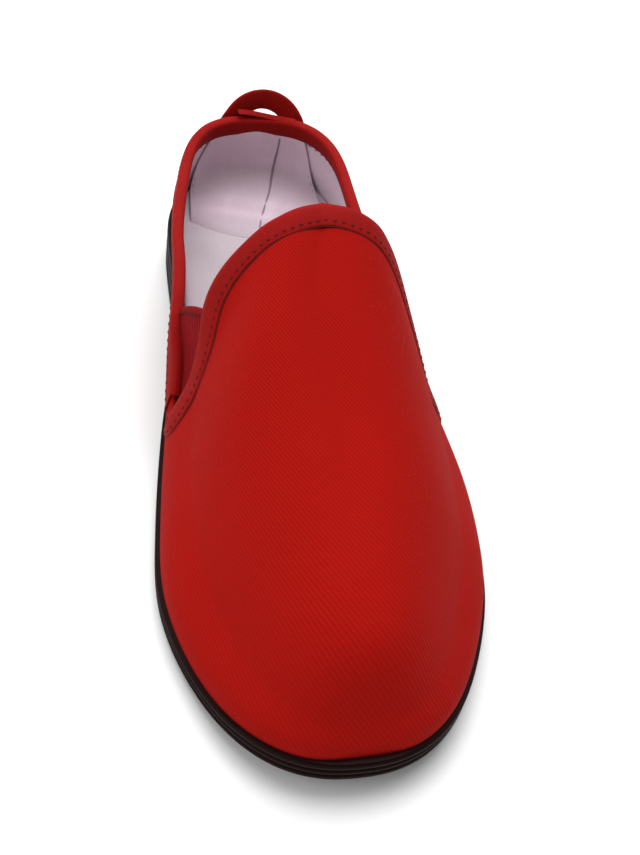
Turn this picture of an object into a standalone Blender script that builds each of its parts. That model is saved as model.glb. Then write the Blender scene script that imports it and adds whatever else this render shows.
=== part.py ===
"""A slip-on cloth shoe for the left foot, standing on its sole.

Metres, +Z up. The toe points to -Y, the heel to +Y and the inner side of the foot is at -X. The origin is on
the floor under the middle of the shoe's box.

The upper is a shell on the surface of a last. A point of that surface has an angle, which runs round the edge
of the sole from 0 at the tip of the toe to pi at the back of the heel, negative along the inner side, and a
rise, which runs from 0 at the sole to 1 at the ridge over the foot. The side curves between them are the ribs
of the last, and they lean back.
"""

import math

import bmesh
import bpy
import numpy as np

# Driving sizes in metres
LENGTH = 0.260
BALL_WIDTH = 0.1017
INSTEP_HEIGHT = 0.086
WALL = 0.0018
GAP = 0.0003
TAPE = 0.0008
HEM_WIDTH = 0.0068
SOLE_MARGIN = 0.0015
TOE_SPRING = 0.0061
ARCH_RISE = 0.003
INSOLE_THICKNESS = 0.003
GUSSET_THICKNESS = 0.0012

# The rounding of the outline in plan: the share of the length that each end takes, and its power
TOE_REACH, TOE_POWER = 0.316, 2.35
HEEL_REACH, HEEL_POWER = 0.160, 2.69

# Share of length from the toe, half width and shift to the outer side as shares of the ball width
OUTLINE = [
    (0.00, 0.456, -0.023),
    (0.10, 0.471, -0.015),
    (0.25, 0.504, 0.005),
    (0.36, 0.500, 0.023),
    (0.50, 0.446, 0.016),
    (0.65, 0.362, 0.007),
    (0.85, 0.338, 0.001),
    (1.00, 0.333, 0.009),
]

# Share of length, height of the sole's top in metres, share of toe spring and share of arch rise under it
SOLE = [
    (0.00, 0.0151, 1.00, 0.0),
    (0.12, 0.0092, 0.36, 0.0),
    (0.22, 0.0081, 0.06, 0.0),
    (0.29, 0.0071, 0.00, 0.0),
    (0.43, 0.0078, 0.00, 0.0),
    (0.50, 0.0098, 0.00, 0.6),
    (0.60, 0.0141, 0.00, 1.0),
    (0.69, 0.0172, 0.00, 0.0),
    (0.90, 0.0209, 0.00, 0.0),
    (1.00, 0.0209, 0.00, 0.0),
]

# The ridge over the foot: share of length, share of instep height, shift to the outer side in metres
RIDGE = [
    (0.08, 0.487, 0.0000),
    (0.12, 0.534, 0.0000),
    (0.25, 0.629, 0.0010),
    (0.36, 0.725, 0.0015),
    (0.48, 0.867, -0.0010),
    (0.60, 1.030, 0.0042),
    (0.75, 1.232, 0.0010),
    (0.90, 1.285, 0.0003),
]

# Where a rib starts at the sole and where it ends on the ridge, as shares of the length
RIB_LEAN = [(0.00, 0.100), (0.36, 0.495), (0.60, 0.693), (1.00, 0.860)]

# How full a rib is in plan at the front and at the heel, how fast it rises, and its bulge near the sole
PLAN_POWER_FRONT, PLAN_POWER_HEEL = 2.48, 3.36
RISE_POWER = 0.80
BULGE, UPRIGHT_TOP = 0.0020, 0.36
HEEL_BLEND = (0.45, 0.70)

# The vamp's edge round the throat: rise, and share of length of the rib that it crosses there
THROAT = [
    (0.33, 0.4635),
    (0.38, 0.4615),
    (0.45, 0.4615),
    (0.53, 0.4725),
    (0.60, 0.4905),
    (0.68, 0.5010),
    (0.78, 0.4965),
    (0.87, 0.4795),
    (0.94, 0.4675),
    (1.00, 0.4565),
]
NOTCH_RISE = 0.33

# The edge of the quarters from the notch to the heel: share of length of the rib, height in metres
COLLAR = [
    (0.481, 0.0270),
    (0.500, 0.0345),
    (0.525, 0.0415),
    (0.555, 0.0462),
    (0.600, 0.0495),
    (0.680, 0.0504),
    (0.780, 0.0500),
    (0.900, 0.0504),
    (1.000, 0.0510),
]

# Stations of the meshes
VAMP_COLUMNS = 12
LOW_ROWS = 6
THROAT_ROWS = 14
QUARTER_COLUMNS = 24
SOLE_STATIONS = 60
MITRE = 0.008
STEP = 1e-4

# Height share and offset in metres of each ring of the outsole's side: three ribs over a rounded foot
SOLE_RINGS = [
    (0.00, -0.0012),
    (0.07, 0.0000),
    (0.24, 0.0000),
    (0.31, -0.0007),
    (0.38, 0.0000),
    (0.53, 0.0000),
    (0.60, -0.0007),
    (0.67, 0.0000),
    (0.82, 0.0000),
    (0.88, -0.0007),
    (0.94, -0.0002),
    (1.00, -0.0002),
]
INSOLE_RINGS = [(0.0, -0.0001), (0.5, -0.0005), (0.8, -0.0010), (1.0, -0.0018)]

# One turn round the section of a binding: share of the hem from the edge, reach past the edge, lift off the
# outer face. The first section grips the wall on both sides, the second only covers its outer side and edge.
UNDER = -(WALL + GAP)
GRIP = [
    (1.00, 0.0, GAP + TAPE),
    (0.14, 0.0, GAP + TAPE * 1.1),
    (0.00, GAP + TAPE * 0.75, GAP * 0.5),
    (0.00, GAP + TAPE, -WALL / 2),
    (0.00, GAP + TAPE * 0.75, -WALL),
    (0.14, 0.0, UNDER - TAPE * 1.1),
    (1.00, 0.0, UNDER - TAPE),
    (1.00, 0.0, UNDER),
    (0.00, 0.0, UNDER),
    (0.00, GAP, UNDER),
    (0.00, GAP, GAP),
    (1.00, 0.0, GAP),
]
COVER = GRIP[:4] + [
    (0.00, GAP + TAPE * 0.95, -WALL * 0.8),
    (0.00, GAP + TAPE * 0.80, UNDER),
    (0.00, GAP + TAPE * 0.60, UNDER - 0.00003),
    (0.00, GAP + TAPE * 0.40, UNDER - 0.00003),
    (0.00, GAP + TAPE * 0.20, UNDER + 0.00003),
    (0.00, GAP, UNDER + 0.0002),
    (0.00, GAP, GAP),
    (1.00, 0.0, GAP),
]
SWELL_COVER = 3.0
GRIP_START = 5
GRIP_FULL = 7

# The gusset: its grid, how far it runs under the wall on each side, its depth under the outer face of the
# wall, the last stations of the throat and of the collar that it reaches, and how much its top edge bows up
GUSSET_COLUMNS, GUSSET_ROWS = 9, 9
GUSSET_UNDER = 0.0045
GUSSET_DEPTH = WALL + 0.0009
GUSSET_THROAT_END, GUSSET_COLLAR_END = 5.9, 4.3
GUSSET_BOW = 0.0015

# The pull loop: half its width, its height over the collar, its tape and how far its ends run down the heel
LOOP_HALF_WIDTH = 0.0120
LOOP_HEIGHT = 0.0125
LOOP_SINK = 0.0079
LOOP_LEAN = 0.25
LOOP_TAPE = 0.0072
LOOP_THICKNESS = 0.0016
LOOP_END = 0.0030
LOOP_STATIONS = 18
LOOP_CLEAR = 0.0010
HEEL_TURN = 0.9

# Base colour, roughness
LOOKS = {
    "outsole": ((0.018, 0.007, 0.008), 0.55),
    "insole": ((0.48, 0.42, 0.45), 0.90),
    "upper": ((0.45, 0.0105, 0.0075), 0.85),
    "gusset": ((0.42, 0.012, 0.014), 0.80),
    "binding": ((0.40, 0.0105, 0.0080), 0.75),
}


def clear_scene():
    for obj in list(bpy.data.objects):
        bpy.data.objects.remove(obj, do_unlink=True)


def smooth(table, column, share):
    """The column's value at a share, on a smooth curve through the rows of the table."""
    rows = np.array(table, float)
    at, value = rows[:, 0], rows[:, column]
    slope = np.gradient(value, at)
    share = np.clip(np.asarray(share, float), at[0], at[-1])
    row = np.clip(np.searchsorted(at, share) - 1, 0, len(at) - 2)
    width = at[row + 1] - at[row]
    t = (share - at[row]) / width
    return (
        (2 * t**3 - 3 * t**2 + 1) * value[row]
        + (t**3 - 2 * t**2 + t) * width * slope[row]
        + (3 * t**2 - 2 * t**3) * value[row + 1]
        + (t**3 - t**2) * width * slope[row + 1]
    )


def ease(low, high, value):
    t = np.clip((value - low) / (high - low), 0, 1)
    return t * t * (3 - 2 * t)


def share_of(angle):
    return (1 - np.cos(angle)) / 2


def angle_of(share, side):
    return side * np.arccos(1 - 2 * np.asarray(share))


def round_end(reach, power):
    rest = np.clip(1 - reach, 0, 1)
    return (1 - rest**power) ** (1 / power)


def outline(angle):
    """The plan of the upper's lower edge."""
    share = share_of(angle)
    half = BALL_WIDTH * smooth(OUTLINE, 1, share)
    half = half * round_end(share / TOE_REACH, TOE_POWER) * round_end((1 - share) / HEEL_REACH, HEEL_POWER)
    x = BALL_WIDTH * smooth(OUTLINE, 2, share) + np.sign(np.sin(angle)) * half
    return np.stack([x, (share - 0.5) * LENGTH], -1)


def outward(angle):
    """The direction away from the outline in plan."""
    along = outline(angle + STEP) - outline(angle - STEP)
    across = np.stack([along[..., 1], -along[..., 0]], -1)
    return across / np.linalg.norm(across, axis=-1, keepdims=True)


def sole_top(share):
    return smooth(SOLE, 1, share)


def sole_bottom(share):
    spring = TOE_SPRING * np.clip(smooth(SOLE, 2, share), 0, None)
    arch = ARCH_RISE * np.clip(smooth(SOLE, 3, share), 0, None)
    flat = (share > 0.29) & (share < 0.43) | (share > 0.69)
    return np.where(flat, 0, spring + arch)


def last(angle, rise):
    """The point of the last's surface at an angle and a rise."""
    angle, rise = np.broadcast_arrays(np.asarray(angle, float), np.asarray(rise, float))
    share = share_of(angle)
    foot = outline(angle)
    foot_height = sole_top(share)
    end = smooth(RIB_LEAN, 1, share)
    top = np.stack([smooth(RIDGE, 2, end), (end - 0.5) * LENGTH], -1)
    top_height = INSTEP_HEIGHT * smooth(RIDGE, 1, end)
    heel = ease(*HEEL_BLEND, share)
    power = PLAN_POWER_FRONT + (PLAN_POWER_HEEL - PLAN_POWER_FRONT) * heel
    turn = np.clip(rise, 0, 1) * math.pi / 2
    across = np.abs(np.cos(turn)) ** (2 / power)
    up = np.sin(turn) ** (2 / RISE_POWER)
    inward = (1 - across) * ease(0, UPRIGHT_TOP, up)
    plan = foot + (top - foot) * inward[..., None] + outward(angle) * (BULGE * up * (1 - up))[..., None]
    height = foot_height + (top_height - foot_height) * up
    return np.concatenate([plan, height[..., None]], -1)


def slopes(angle, rise):
    """How the surface point moves with the angle and with the rise."""
    rise = np.clip(rise, 0.001, 0.995)
    by_angle = last(angle + STEP, rise) - last(angle - STEP, rise)
    by_rise = last(angle, rise + STEP) - last(angle, rise - STEP)
    return by_angle / (2 * STEP), by_rise / (2 * STEP)


def normal(angle, rise):
    by_angle, by_rise = slopes(angle, rise)
    across = np.cross(by_angle, by_rise)
    return across / np.linalg.norm(across, axis=-1, keepdims=True)


def walk(angle, rise, direction, distance, steps=8):
    """The angle and rise that a walk over the surface reaches, starting in the given direction."""
    stride = np.asarray(distance, float) / steps
    for _ in range(steps):
        by_angle, by_rise = slopes(angle, rise)
        away = normal(angle, rise)
        flat = direction - away * np.sum(direction * away, -1, keepdims=True)
        flat = flat / np.linalg.norm(flat, axis=-1, keepdims=True) * stride[..., None]
        aa = np.sum(by_angle * by_angle, -1)
        ar = np.sum(by_angle * by_rise, -1)
        rr = np.sum(by_rise * by_rise, -1)
        fa = np.sum(flat * by_angle, -1)
        fr = np.sum(flat * by_rise, -1)
        whole = aa * rr - ar * ar
        angle = angle + (fa * rr - fr * ar) / whole
        rise = np.minimum(rise + (fr * aa - fa * ar) / whole, 1)
    return angle, rise


def evenly(angle, rise, count):
    """The path's angles and rises at points the same distance apart."""
    points = last(angle, rise)
    run = np.concatenate([[0], np.cumsum(np.linalg.norm(np.diff(points, axis=0), axis=1))])
    at = np.linspace(0, run[-1], count)
    return np.interp(at, run, angle), np.interp(at, run, rise)


def rise_at(share, height):
    """The rise at which the rib that starts at this share reaches the height."""
    low = sole_top(share)
    high = INSTEP_HEIGHT * smooth(RIDGE, 1, smooth(RIB_LEAN, 1, share))
    return np.arcsin(((height - low) / (high - low)) ** (RISE_POWER / 2)) * 2 / math.pi


def throat_edge(side):
    """The vamp's edge from the notch to the middle of the throat."""
    rise = np.linspace(NOTCH_RISE, 1, 200)
    return evenly(angle_of(smooth(THROAT, 1, rise), side), rise, THROAT_ROWS + 1)


def collar_edge(side):
    """The quarter's edge from the notch to the back of the heel."""
    share = share_of(np.linspace(angle_of(COLLAR[0][0], 1), math.pi, 400))
    return evenly(angle_of(share, side), rise_at(share, smooth(COLLAR, 1, share)), QUARTER_COLUMNS + 1)


# The side of each edge that the wall is on, seen along the edge from the inner notch to the outer one
THROAT_TURN, COLLAR_TURN = -1, 1


class Hem:
    """An edge of the upper from the inner notch to the outer one, with the line where its hem ends."""

    def __init__(self, edge, turn):
        inner, outer = edge(-1), edge(1)
        self.angle = np.concatenate([inner[0], outer[0][-2::-1]])
        self.rise = np.concatenate([inner[1], outer[1][-2::-1]])
        points = last(self.angle, self.rise)
        along = np.gradient(points, axis=0)
        inward = np.cross(normal(self.angle, self.rise), along) * turn
        width = np.full(len(points), HEM_WIDTH)
        for end in (0, -1):
            inward[end] = (0, 0, -1)
            width[end] = MITRE
        self.end_angle, self.end_rise = walk(self.angle, self.rise, inward, width)
        middle = len(points) // 2
        if turn == COLLAR_TURN:
            self.end_angle[middle] = self.angle[middle]

    def half(self, side):
        """The edge and the hem's end on one side, from the notch on: angle, rise, angle, rise."""
        middle = len(self.angle) // 2
        pick = slice(0, middle + 1) if side < 0 else slice(None, middle - 1, -1)
        angle, end_angle = side * np.abs(self.angle[pick]), side * np.abs(self.end_angle[pick])
        return angle, self.rise[pick], end_angle, self.end_rise[pick]


def mesh_object(name, vertices, faces, look, collection):
    mesh = bpy.data.meshes.new(name)
    mesh.from_pydata([tuple(map(float, v)) for v in vertices], [], faces)
    shape = bmesh.new()
    shape.from_mesh(mesh)
    bmesh.ops.remove_doubles(shape, verts=shape.verts, dist=1e-6)
    bmesh.ops.recalc_face_normals(shape, faces=shape.faces)
    shape.to_mesh(mesh)
    shape.free()
    mesh.shade_smooth()
    mesh.set_sharp_from_angle(angle=math.radians(40))
    mesh.materials.append(look)
    obj = bpy.data.objects.new(name, mesh)
    collection.objects.link(obj)
    return obj


def halves(a, b, c, d, from_a=True):
    """A four-sided face as two triangles, split from a to c or from b to d."""
    return [(a, b, c), (a, c, d)] if from_a else [(a, b, d), (b, c, d)]


def grid_faces(first, columns, rows):
    """Faces of a grid whose vertices are stored column after column, split like those of the bindings.

    The top face of the first column is split the other way, because both sides of the toe meet there.
    """
    faces = []
    for i in range(columns - 1):
        for j in range(rows - 1):
            corner = first + i * rows + j
            from_a = i > 0 or j < rows - 2
            faces += halves(corner, corner + rows, corner + rows + 1, corner + 1, from_a)
    return faces


def thicken(obj, thickness):
    shell = obj.modifiers.new("Wall", "SOLIDIFY")
    shell.thickness = thickness
    shell.offset = -1
    shell.use_rim = True
    shell.use_even_offset = False


def side_rows(side, throat):
    """The rises of the vamp's rows at its edge on one side."""
    edge_angle, edge_rise, hem_angle, hem_rise = throat.half(side)
    return np.concatenate([np.linspace(0, hem_rise[0], LOW_ROWS), edge_rise])


def vamp_grid(side, throat):
    """Angles and rises of the vamp from the toe to its edge, column by column."""
    edge_angle, edge_rise, hem_angle, hem_rise = throat.half(side)
    low = np.append(np.linspace(0, hem_rise[0], LOW_ROWS), NOTCH_RISE)
    row_rise = (side_rows(-1, throat) + side_rows(1, throat)) / 2
    notch = angle_of(THROAT[0][1], side)
    hem_step = hem_angle[1] - edge_angle[1]
    last_angle = np.concatenate([np.full(LOW_ROWS, notch), edge_angle])
    last_rise = np.concatenate([low[:-1], edge_rise])
    before_angle = np.concatenate([np.full(LOW_ROWS + 1, notch + hem_step), hem_angle[1:]])
    before_rise = np.concatenate([low, hem_rise[1:]])
    before_angle[LOW_ROWS] = (hem_angle[1] + hem_angle[0]) / 2
    before_rise[LOW_ROWS] = (hem_rise[1] + hem_rise[0]) / 2
    before_rise[-1] = 1
    part = np.linspace(0, 1, VAMP_COLUMNS)[:, None]
    angle = before_angle[None] * part
    rise = row_rise[None] + (before_rise - row_rise)[None] * part**2
    return np.vstack([angle, last_angle[None]]), np.vstack([rise, last_rise[None]])


def quarter_grid(side, collar):
    """Angles and rises of the quarter from the notch to the heel, column by column."""
    edge_angle, edge_rise, hem_angle, hem_rise = collar.half(side)
    part = np.linspace(0, 1, LOW_ROWS)[None]
    angle = np.repeat(hem_angle[:, None], LOW_ROWS, 1)
    rise = hem_rise[:, None] * part
    return np.hstack([angle, edge_angle[:, None]]), np.hstack([rise, edge_rise[:, None]])


def make_upper(throat, collar, look, collection):
    """Vamp and quarters as one wall, open at the throat, at both notches and underneath."""
    vertices, faces = [], []
    # The vertex beside the notch lies on the straight end of the hem, so that the binding lies flat on it.
    for side in (-1, 1):
        angle, rise = vamp_grid(side, throat)
        first = len(vertices)
        rows = angle.shape[1]
        points = last(angle, rise)
        points[-2, LOW_ROWS] = (points[-2, LOW_ROWS + 1] + points[-1, LOW_ROWS - 1]) / 2
        vertices += list(points.reshape(-1, 3))
        faces += grid_faces(first, *angle.shape)
        edge = first + VAMP_COLUMNS * rows
        angle, rise = quarter_grid(side, collar)
        first = len(vertices)
        vertices += list(last(angle, rise).reshape(-1, 3))
        faces += grid_faces(first, *angle.shape)
        for j in range(LOW_ROWS):
            faces.append((edge + j, first + j, first + j + 1, edge + j + 1))
    upper = mesh_object("upper", vertices, faces, look, collection)
    thicken(upper, WALL)
    return upper


def section_points(hem, table_at):
    """The binding's section at each station of the hem."""
    edge = last(hem.angle, hem.rise)
    end = last(hem.end_angle, hem.end_rise)
    edge_normal = normal(hem.angle, hem.rise)
    end_normal = normal(hem.end_angle, hem.end_rise)
    past = edge - end
    past = past / np.linalg.norm(past, axis=1, keepdims=True)
    middle = last((hem.angle + hem.end_angle) / 2, (hem.rise + hem.end_rise) / 2)
    swell = SWELL_COVER * np.clip(np.sum((middle - (edge + end) / 2) * end_normal, axis=1), 0, None)
    rings = []
    for k in range(len(edge)):
        table = table_at(k)
        share, reach, lift = table[:, 0:1], table[:, 1:2], table[:, 2:3]
        lift = np.where(lift > 0, lift + swell[k], lift)
        away = edge_normal[k] + (end_normal[k] - edge_normal[k]) * share
        rings.append(edge[k] + (end[k] - edge[k]) * share + past[k] * reach + away * lift)
    return np.array(rings)


def loft(name, rings, look, collection, from_a=None):
    """A solid through rings of the same number of points, closed by a face at each end."""
    stations, points = rings.shape[:2]
    vertices = list(rings.reshape(-1, 3))
    faces = []
    for k in range(stations - 1):
        for j in range(points):
            a, b = k * points + j, k * points + (j + 1) % points
            if from_a is None:
                faces.append((a, b, b + points, a + points))
            else:
                faces += halves(a, b, b + points, a + points, from_a[k][j])
    faces.append(tuple(range(points)))
    faces.append(tuple(range((stations - 1) * points, stations * points)))
    return mesh_object(name, vertices, faces, look, collection)


def splits(stations, table):
    """Which way each face of a binding is split: from the hem's end to the edge, counted from its notch."""
    share = table[:, 0]
    to_edge = share > np.roll(share, -1)
    return [to_edge if k < (stations - 1) // 2 else ~to_edge for k in range(stations - 1)]


def pull_apart(rings):
    """The rings with the two end ones drawn back from the notch by half a gap."""
    rings = rings.copy()
    for end, before in ((0, 1), (-1, -2)):
        back = rings[before] - rings[end]
        back = back / np.linalg.norm(back, axis=1, keepdims=True)
        rings[end] += back * GAP
    return rings


def make_vamp_binding(throat, look, collection):
    cover = np.array(COVER)
    rings = pull_apart(section_points(throat, lambda k: cover))
    return loft("vamp_binding", rings, look, collection, splits(len(rings), cover))


def make_collar_binding(collar, look, collection):
    cover, grip = np.array(COVER), np.array(GRIP)
    ends = len(collar.angle) - 1

    def table_at(k):
        from_end = min(k, ends - k)
        return cover + (grip - cover) * np.clip((from_end - GRIP_START) / (GRIP_FULL - GRIP_START), 0, 1)

    rings = pull_apart(section_points(collar, table_at))
    return loft("collar_binding", rings, look, collection, splits(len(rings), grip))


def stack(name, rings, bottom, top, look, collection):
    """A solid with level rings between two heights: each ring is a share of the height and an offset in plan."""
    angle = np.linspace(0, 2 * math.pi, SOLE_STATIONS, endpoint=False)
    share = share_of(angle)
    low, high = bottom(share), top(share)
    vertices = []
    for part, offset in rings:
        plan = outline(angle) + outward(angle) * offset
        vertices += list(np.column_stack([plan, low + (high - low) * part]))
    faces = []
    for k in range(len(rings) - 1):
        for i in range(SOLE_STATIONS):
            a, b = k * SOLE_STATIONS + i, k * SOLE_STATIONS + (i + 1) % SOLE_STATIONS
            faces.append((a, b, b + SOLE_STATIONS, a + SOLE_STATIONS))
    for first in (0, (len(rings) - 1) * SOLE_STATIONS):
        for i in range(SOLE_STATIONS // 2):
            ring = [i, i + 1, SOLE_STATIONS - i - 1, (SOLE_STATIONS - i) % SOLE_STATIONS]
            faces.append(tuple(first + n for n in dict.fromkeys(ring)))
    return mesh_object(name, vertices, faces, look, collection)


def make_outsole(look, collection):
    rings = [(part, offset + SOLE_MARGIN) for part, offset in SOLE_RINGS]
    return stack("outsole", rings, sole_bottom, lambda share: sole_top(share) - GAP, look, collection)


def make_insole(look, collection):
    rings = [(part, offset - WALL - 2 * GAP) for part, offset in INSOLE_RINGS]
    return stack("insole", rings, sole_top, lambda share: sole_top(share) + INSOLE_THICKNESS, look, collection)


def hem_side(hem, side, stations):
    """Angles and rises under the wall beside the edge, at whole and broken station numbers."""
    edge_angle, edge_rise, hem_angle, hem_rise = hem.half(side)
    under = GUSSET_UNDER / HEM_WIDTH
    number = np.arange(len(edge_angle))
    angle = edge_angle + (hem_angle - edge_angle) * under
    rise = edge_rise + (hem_rise - edge_rise) * under
    return np.interp(stations, number, angle), np.interp(stations, number, rise)


def make_gusset(name, side, throat, collar, look, collection):
    """A thin elastic panel behind the notch, with its top edge free."""
    part = np.linspace(0, 1, GUSSET_ROWS)
    front = hem_side(throat, side, part * GUSSET_THROAT_END)
    back = hem_side(collar, side, part * GUSSET_COLLAR_END)
    across = np.linspace(0, 1, GUSSET_COLUMNS)[:, None]
    angle = front[0] + (back[0] - front[0]) * across
    rise = front[1] + (back[1] - front[1]) * across
    shell = last(angle, rise) - normal(angle, rise) * GUSSET_DEPTH
    bow = GUSSET_BOW * np.sin(math.pi * across) * part[None] ** 4
    shell[..., 2] += bow
    rows = GUSSET_ROWS
    vertices = list(shell.reshape(-1, 3))
    faces = grid_faces(0, GUSSET_COLUMNS, rows)
    gusset = mesh_object(name, vertices, faces, look, collection)
    direction = np.sum(np.array(gusset.data.polygons[0].normal) * normal(angle[0, 0], rise[0, 0]))
    if direction < 0:
        gusset.data.flip_normals()
    thicken(gusset, GUSSET_THICKNESS)
    return gusset


def heel_spot(x, height):
    """The point of the heel's outside at a place across it and a height, and the direction out of it in plan."""
    angle = math.pi - np.linspace(-HEEL_TURN, HEEL_TURN, 91)
    points = last(angle, rise_at(share_of(angle), height))
    order = np.argsort(points[:, 0])
    spot = np.interp(x, points[order, 0], angle[order])
    away = np.append(outward(spot), 0)
    return last(spot, rise_at(share_of(spot), height)), away


def make_pull_loop(look, collection):
    """A tape that stands up as an arch behind the collar, with both ends flat on the outside of the heel."""
    collar_top = COLLAR[-1][1]
    lift = LOOP_CLEAR + TAPE + LOOP_THICKNESS / 2
    turn = np.linspace(0, math.pi, LOOP_STATIONS)
    x = -LOOP_HALF_WIDTH * np.cos(turn)
    low = collar_top - LOOP_SINK
    z = low + LOOP_HEIGHT * np.sin(turn)
    down = low - np.array([LOOP_END, LOOP_END / 2])
    x = np.concatenate([x[[0, 0]], x, x[[-1, -1]]])
    z = np.concatenate([down, z, down[::-1]])
    centre, face = [], []
    for across, height in zip(x, z):
        spot, away = heel_spot(across, min(height, collar_top))
        spot = spot + away * (lift + max(height - collar_top, 0) * LOOP_LEAN)
        centre.append((spot[0], spot[1], height))
        face.append(away)
    centre, face = np.array(centre), np.array(face)
    along = np.gradient(centre, axis=0)
    side = np.cross(along, face)
    side = side / np.linalg.norm(side, axis=1, keepdims=True)
    half, thick = LOOP_TAPE / 2, LOOP_THICKNESS / 2
    corners = [(-half, -thick), (half, -thick), (half, thick), (-half, thick)]
    rings = np.stack([centre + side * w + face * t for w, t in corners], 1)
    return loft("pull_loop", rings, look, collection)


def make_material(name, colour, roughness):
    material = bpy.data.materials.new(name)
    material.use_nodes = True
    shader = material.node_tree.nodes["Principled BSDF"]
    shader.inputs["Base Color"].default_value = (*colour, 1)
    shader.inputs["Roughness"].default_value = roughness
    shader.inputs["Metallic"].default_value = 0
    material.diffuse_color = (*colour, 1)
    return material


def centre_over_origin(pieces):
    """Moves the pieces over the floor until the middle of their box is over the origin."""
    bpy.context.view_layer.update()
    seen = bpy.context.evaluated_depsgraph_get()
    corners = np.array([corner for piece in pieces for corner in piece.evaluated_get(seen).bound_box])
    middle = (corners.max(axis=0) + corners.min(axis=0)) / 2
    for piece in pieces:
        piece.location = (-middle[0], -middle[1], 0)


def main():
    clear_scene()
    collection = bpy.data.collections.new("cloth_shoe")
    bpy.context.scene.collection.children.link(collection)
    looks = {name: make_material(name, *look) for name, look in LOOKS.items()}
    throat = Hem(throat_edge, THROAT_TURN)
    collar = Hem(collar_edge, COLLAR_TURN)
    make_outsole(looks["outsole"], collection)
    make_insole(looks["insole"], collection)
    make_upper(throat, collar, looks["upper"], collection)
    make_gusset("gusset_inner", -1, throat, collar, looks["gusset"], collection)
    make_gusset("gusset_outer", 1, throat, collar, looks["gusset"], collection)
    make_vamp_binding(throat, looks["binding"], collection)
    make_collar_binding(collar, looks["binding"], collection)
    make_pull_loop(looks["binding"], collection)
    centre_over_origin(list(collection.objects))


main()
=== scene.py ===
"""The look of a left slip-on cloth shoe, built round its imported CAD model.

Metres, +Z up, toe to -Y, inner side of the foot at -X. The upper follows the CAD part's last, with its inner
quarter flared out: a point of its surface has an angle, which runs round the edge of the sole from 0 at the
toe to pi at the heel and is negative on the inner side, and a rise from 0 at the sole to 1 at the ridge.
"""

import math

import bmesh
import bpy
import numpy as np
from mathutils import Matrix, Vector


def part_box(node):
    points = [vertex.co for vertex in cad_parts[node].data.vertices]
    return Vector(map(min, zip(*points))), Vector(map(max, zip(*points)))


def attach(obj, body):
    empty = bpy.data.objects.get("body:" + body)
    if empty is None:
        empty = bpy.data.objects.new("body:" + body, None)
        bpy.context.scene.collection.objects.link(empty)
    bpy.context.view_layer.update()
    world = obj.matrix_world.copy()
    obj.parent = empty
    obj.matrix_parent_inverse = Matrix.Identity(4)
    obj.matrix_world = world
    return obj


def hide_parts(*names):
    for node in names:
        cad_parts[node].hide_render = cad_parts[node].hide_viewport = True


bl_info = {
    "name": "Cloth Shoe",
    "version": (1, 0, 0),
    "blender": (4, 5, 0),
    "location": "View3D > Sidebar > Cloth Shoe",
    "description": "Builds a slip-on cloth shoe with bound edges, elastic gussets and a ribbed rubber sole",
    "category": "Add Mesh",
}

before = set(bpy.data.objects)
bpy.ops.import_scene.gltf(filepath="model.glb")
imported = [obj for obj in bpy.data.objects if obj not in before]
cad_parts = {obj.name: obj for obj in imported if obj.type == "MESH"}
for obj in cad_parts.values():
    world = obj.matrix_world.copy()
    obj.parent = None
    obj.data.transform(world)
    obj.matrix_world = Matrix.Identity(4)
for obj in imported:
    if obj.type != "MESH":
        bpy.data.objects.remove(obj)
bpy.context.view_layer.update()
BODY = "root"


def long_side(node):
    low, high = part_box(node)
    return high.y - low.y


def metres(name, description, default):
    return bpy.props.FloatProperty(name=name, description=description, default=default, unit="LENGTH")


def tint(name, description, default):
    return bpy.props.FloatVectorProperty(name=name, description=description, default=default, subtype="COLOR")


class ShoeSizes(bpy.types.PropertyGroup):
    """Sizes that a user would change."""

    length: metres("Length", "Length of the upper", round(long_side("upper"), 4))
    ball_width: metres("Ball width", "Width of the sole's edge at the ball", 0.1017)
    instep_height: metres("Instep height", "Height of the ridge at the throat", 0.086)
    wall: metres("Wall", "Thickness of canvas and lining together", 0.0018)
    canvas: metres("Canvas", "Thickness of the canvas", 0.0009)
    tape: metres("Tape", "Thickness of the binding tape", 0.0008)
    hem_width: metres("Binding width", "Width of the binding on the canvas", 0.0064)
    sole_margin: metres("Sole margin", "How far the sole stands out past the upper", 0.0015)
    toe_spring: metres("Toe spring", "Height of the sole's underside at the toe", 0.0061)
    arch_rise: metres("Arch rise", "Height of the sole's underside at the arch", 0.003)
    insole: metres("Insole", "Thickness of the insole", 0.003)
    stitch_pitch: metres("Stitch pitch", "Distance from one stitch to the next", 0.0028)
    thread: metres("Thread", "Thickness of the sewing thread", 0.00068)
    twill_pitch: metres("Twill pitch", "Distance between the twill lines", 0.0010)
    loop_width: metres("Loop tape", "Width of the pull loop's tape", 0.0084)
    loop_height: metres("Loop height", "Height of the loop's arch", 0.0140)
    loop_half_width: metres("Loop half width", "Half the distance between the loop's ends", 0.0127)
    tread_depth: metres("Tread depth", "Height of the pads under the sole", 0.0009)


class ShoeColours(bpy.types.PropertyGroup):
    """Colours of the cloths, the thread and the rubber."""

    canvas: tint("Canvas", "Colour of the canvas", (0.320, 0.0042, 0.0020))
    binding: tint("Binding", "Colour of the binding tape", (0.31, 0.0042, 0.0028))
    gusset: tint("Gusset", "Colour of the elastic", (0.245, 0.0034, 0.0056))
    # The thread is dark partly as painted shade of its stitch holes; the dark lines of painted shadow beside
    # the tapes use it too
    thread: tint("Thread", "Colour of the thread on the red cloth", (0.085, 0.0022, 0.0020))
    lining: tint("Lining", "Colour of the cotton lining", (0.82, 0.66, 0.75))
    insole: tint("Insole", "Colour of the insole's cotton", (0.50, 0.43, 0.465))
    rubber: tint("Rubber", "Colour of the sole", (0.0110, 0.0021, 0.0019))
    floor: tint("Floor", "Colour of the floor", (0.90, 0.90, 0.90))


# The rounding of the outline in plan: the share of the length that each end takes, and its power
TOE_REACH, TOE_POWER = 0.316, 2.35
HEEL_REACH, HEEL_POWER = 0.160, 2.69

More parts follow.
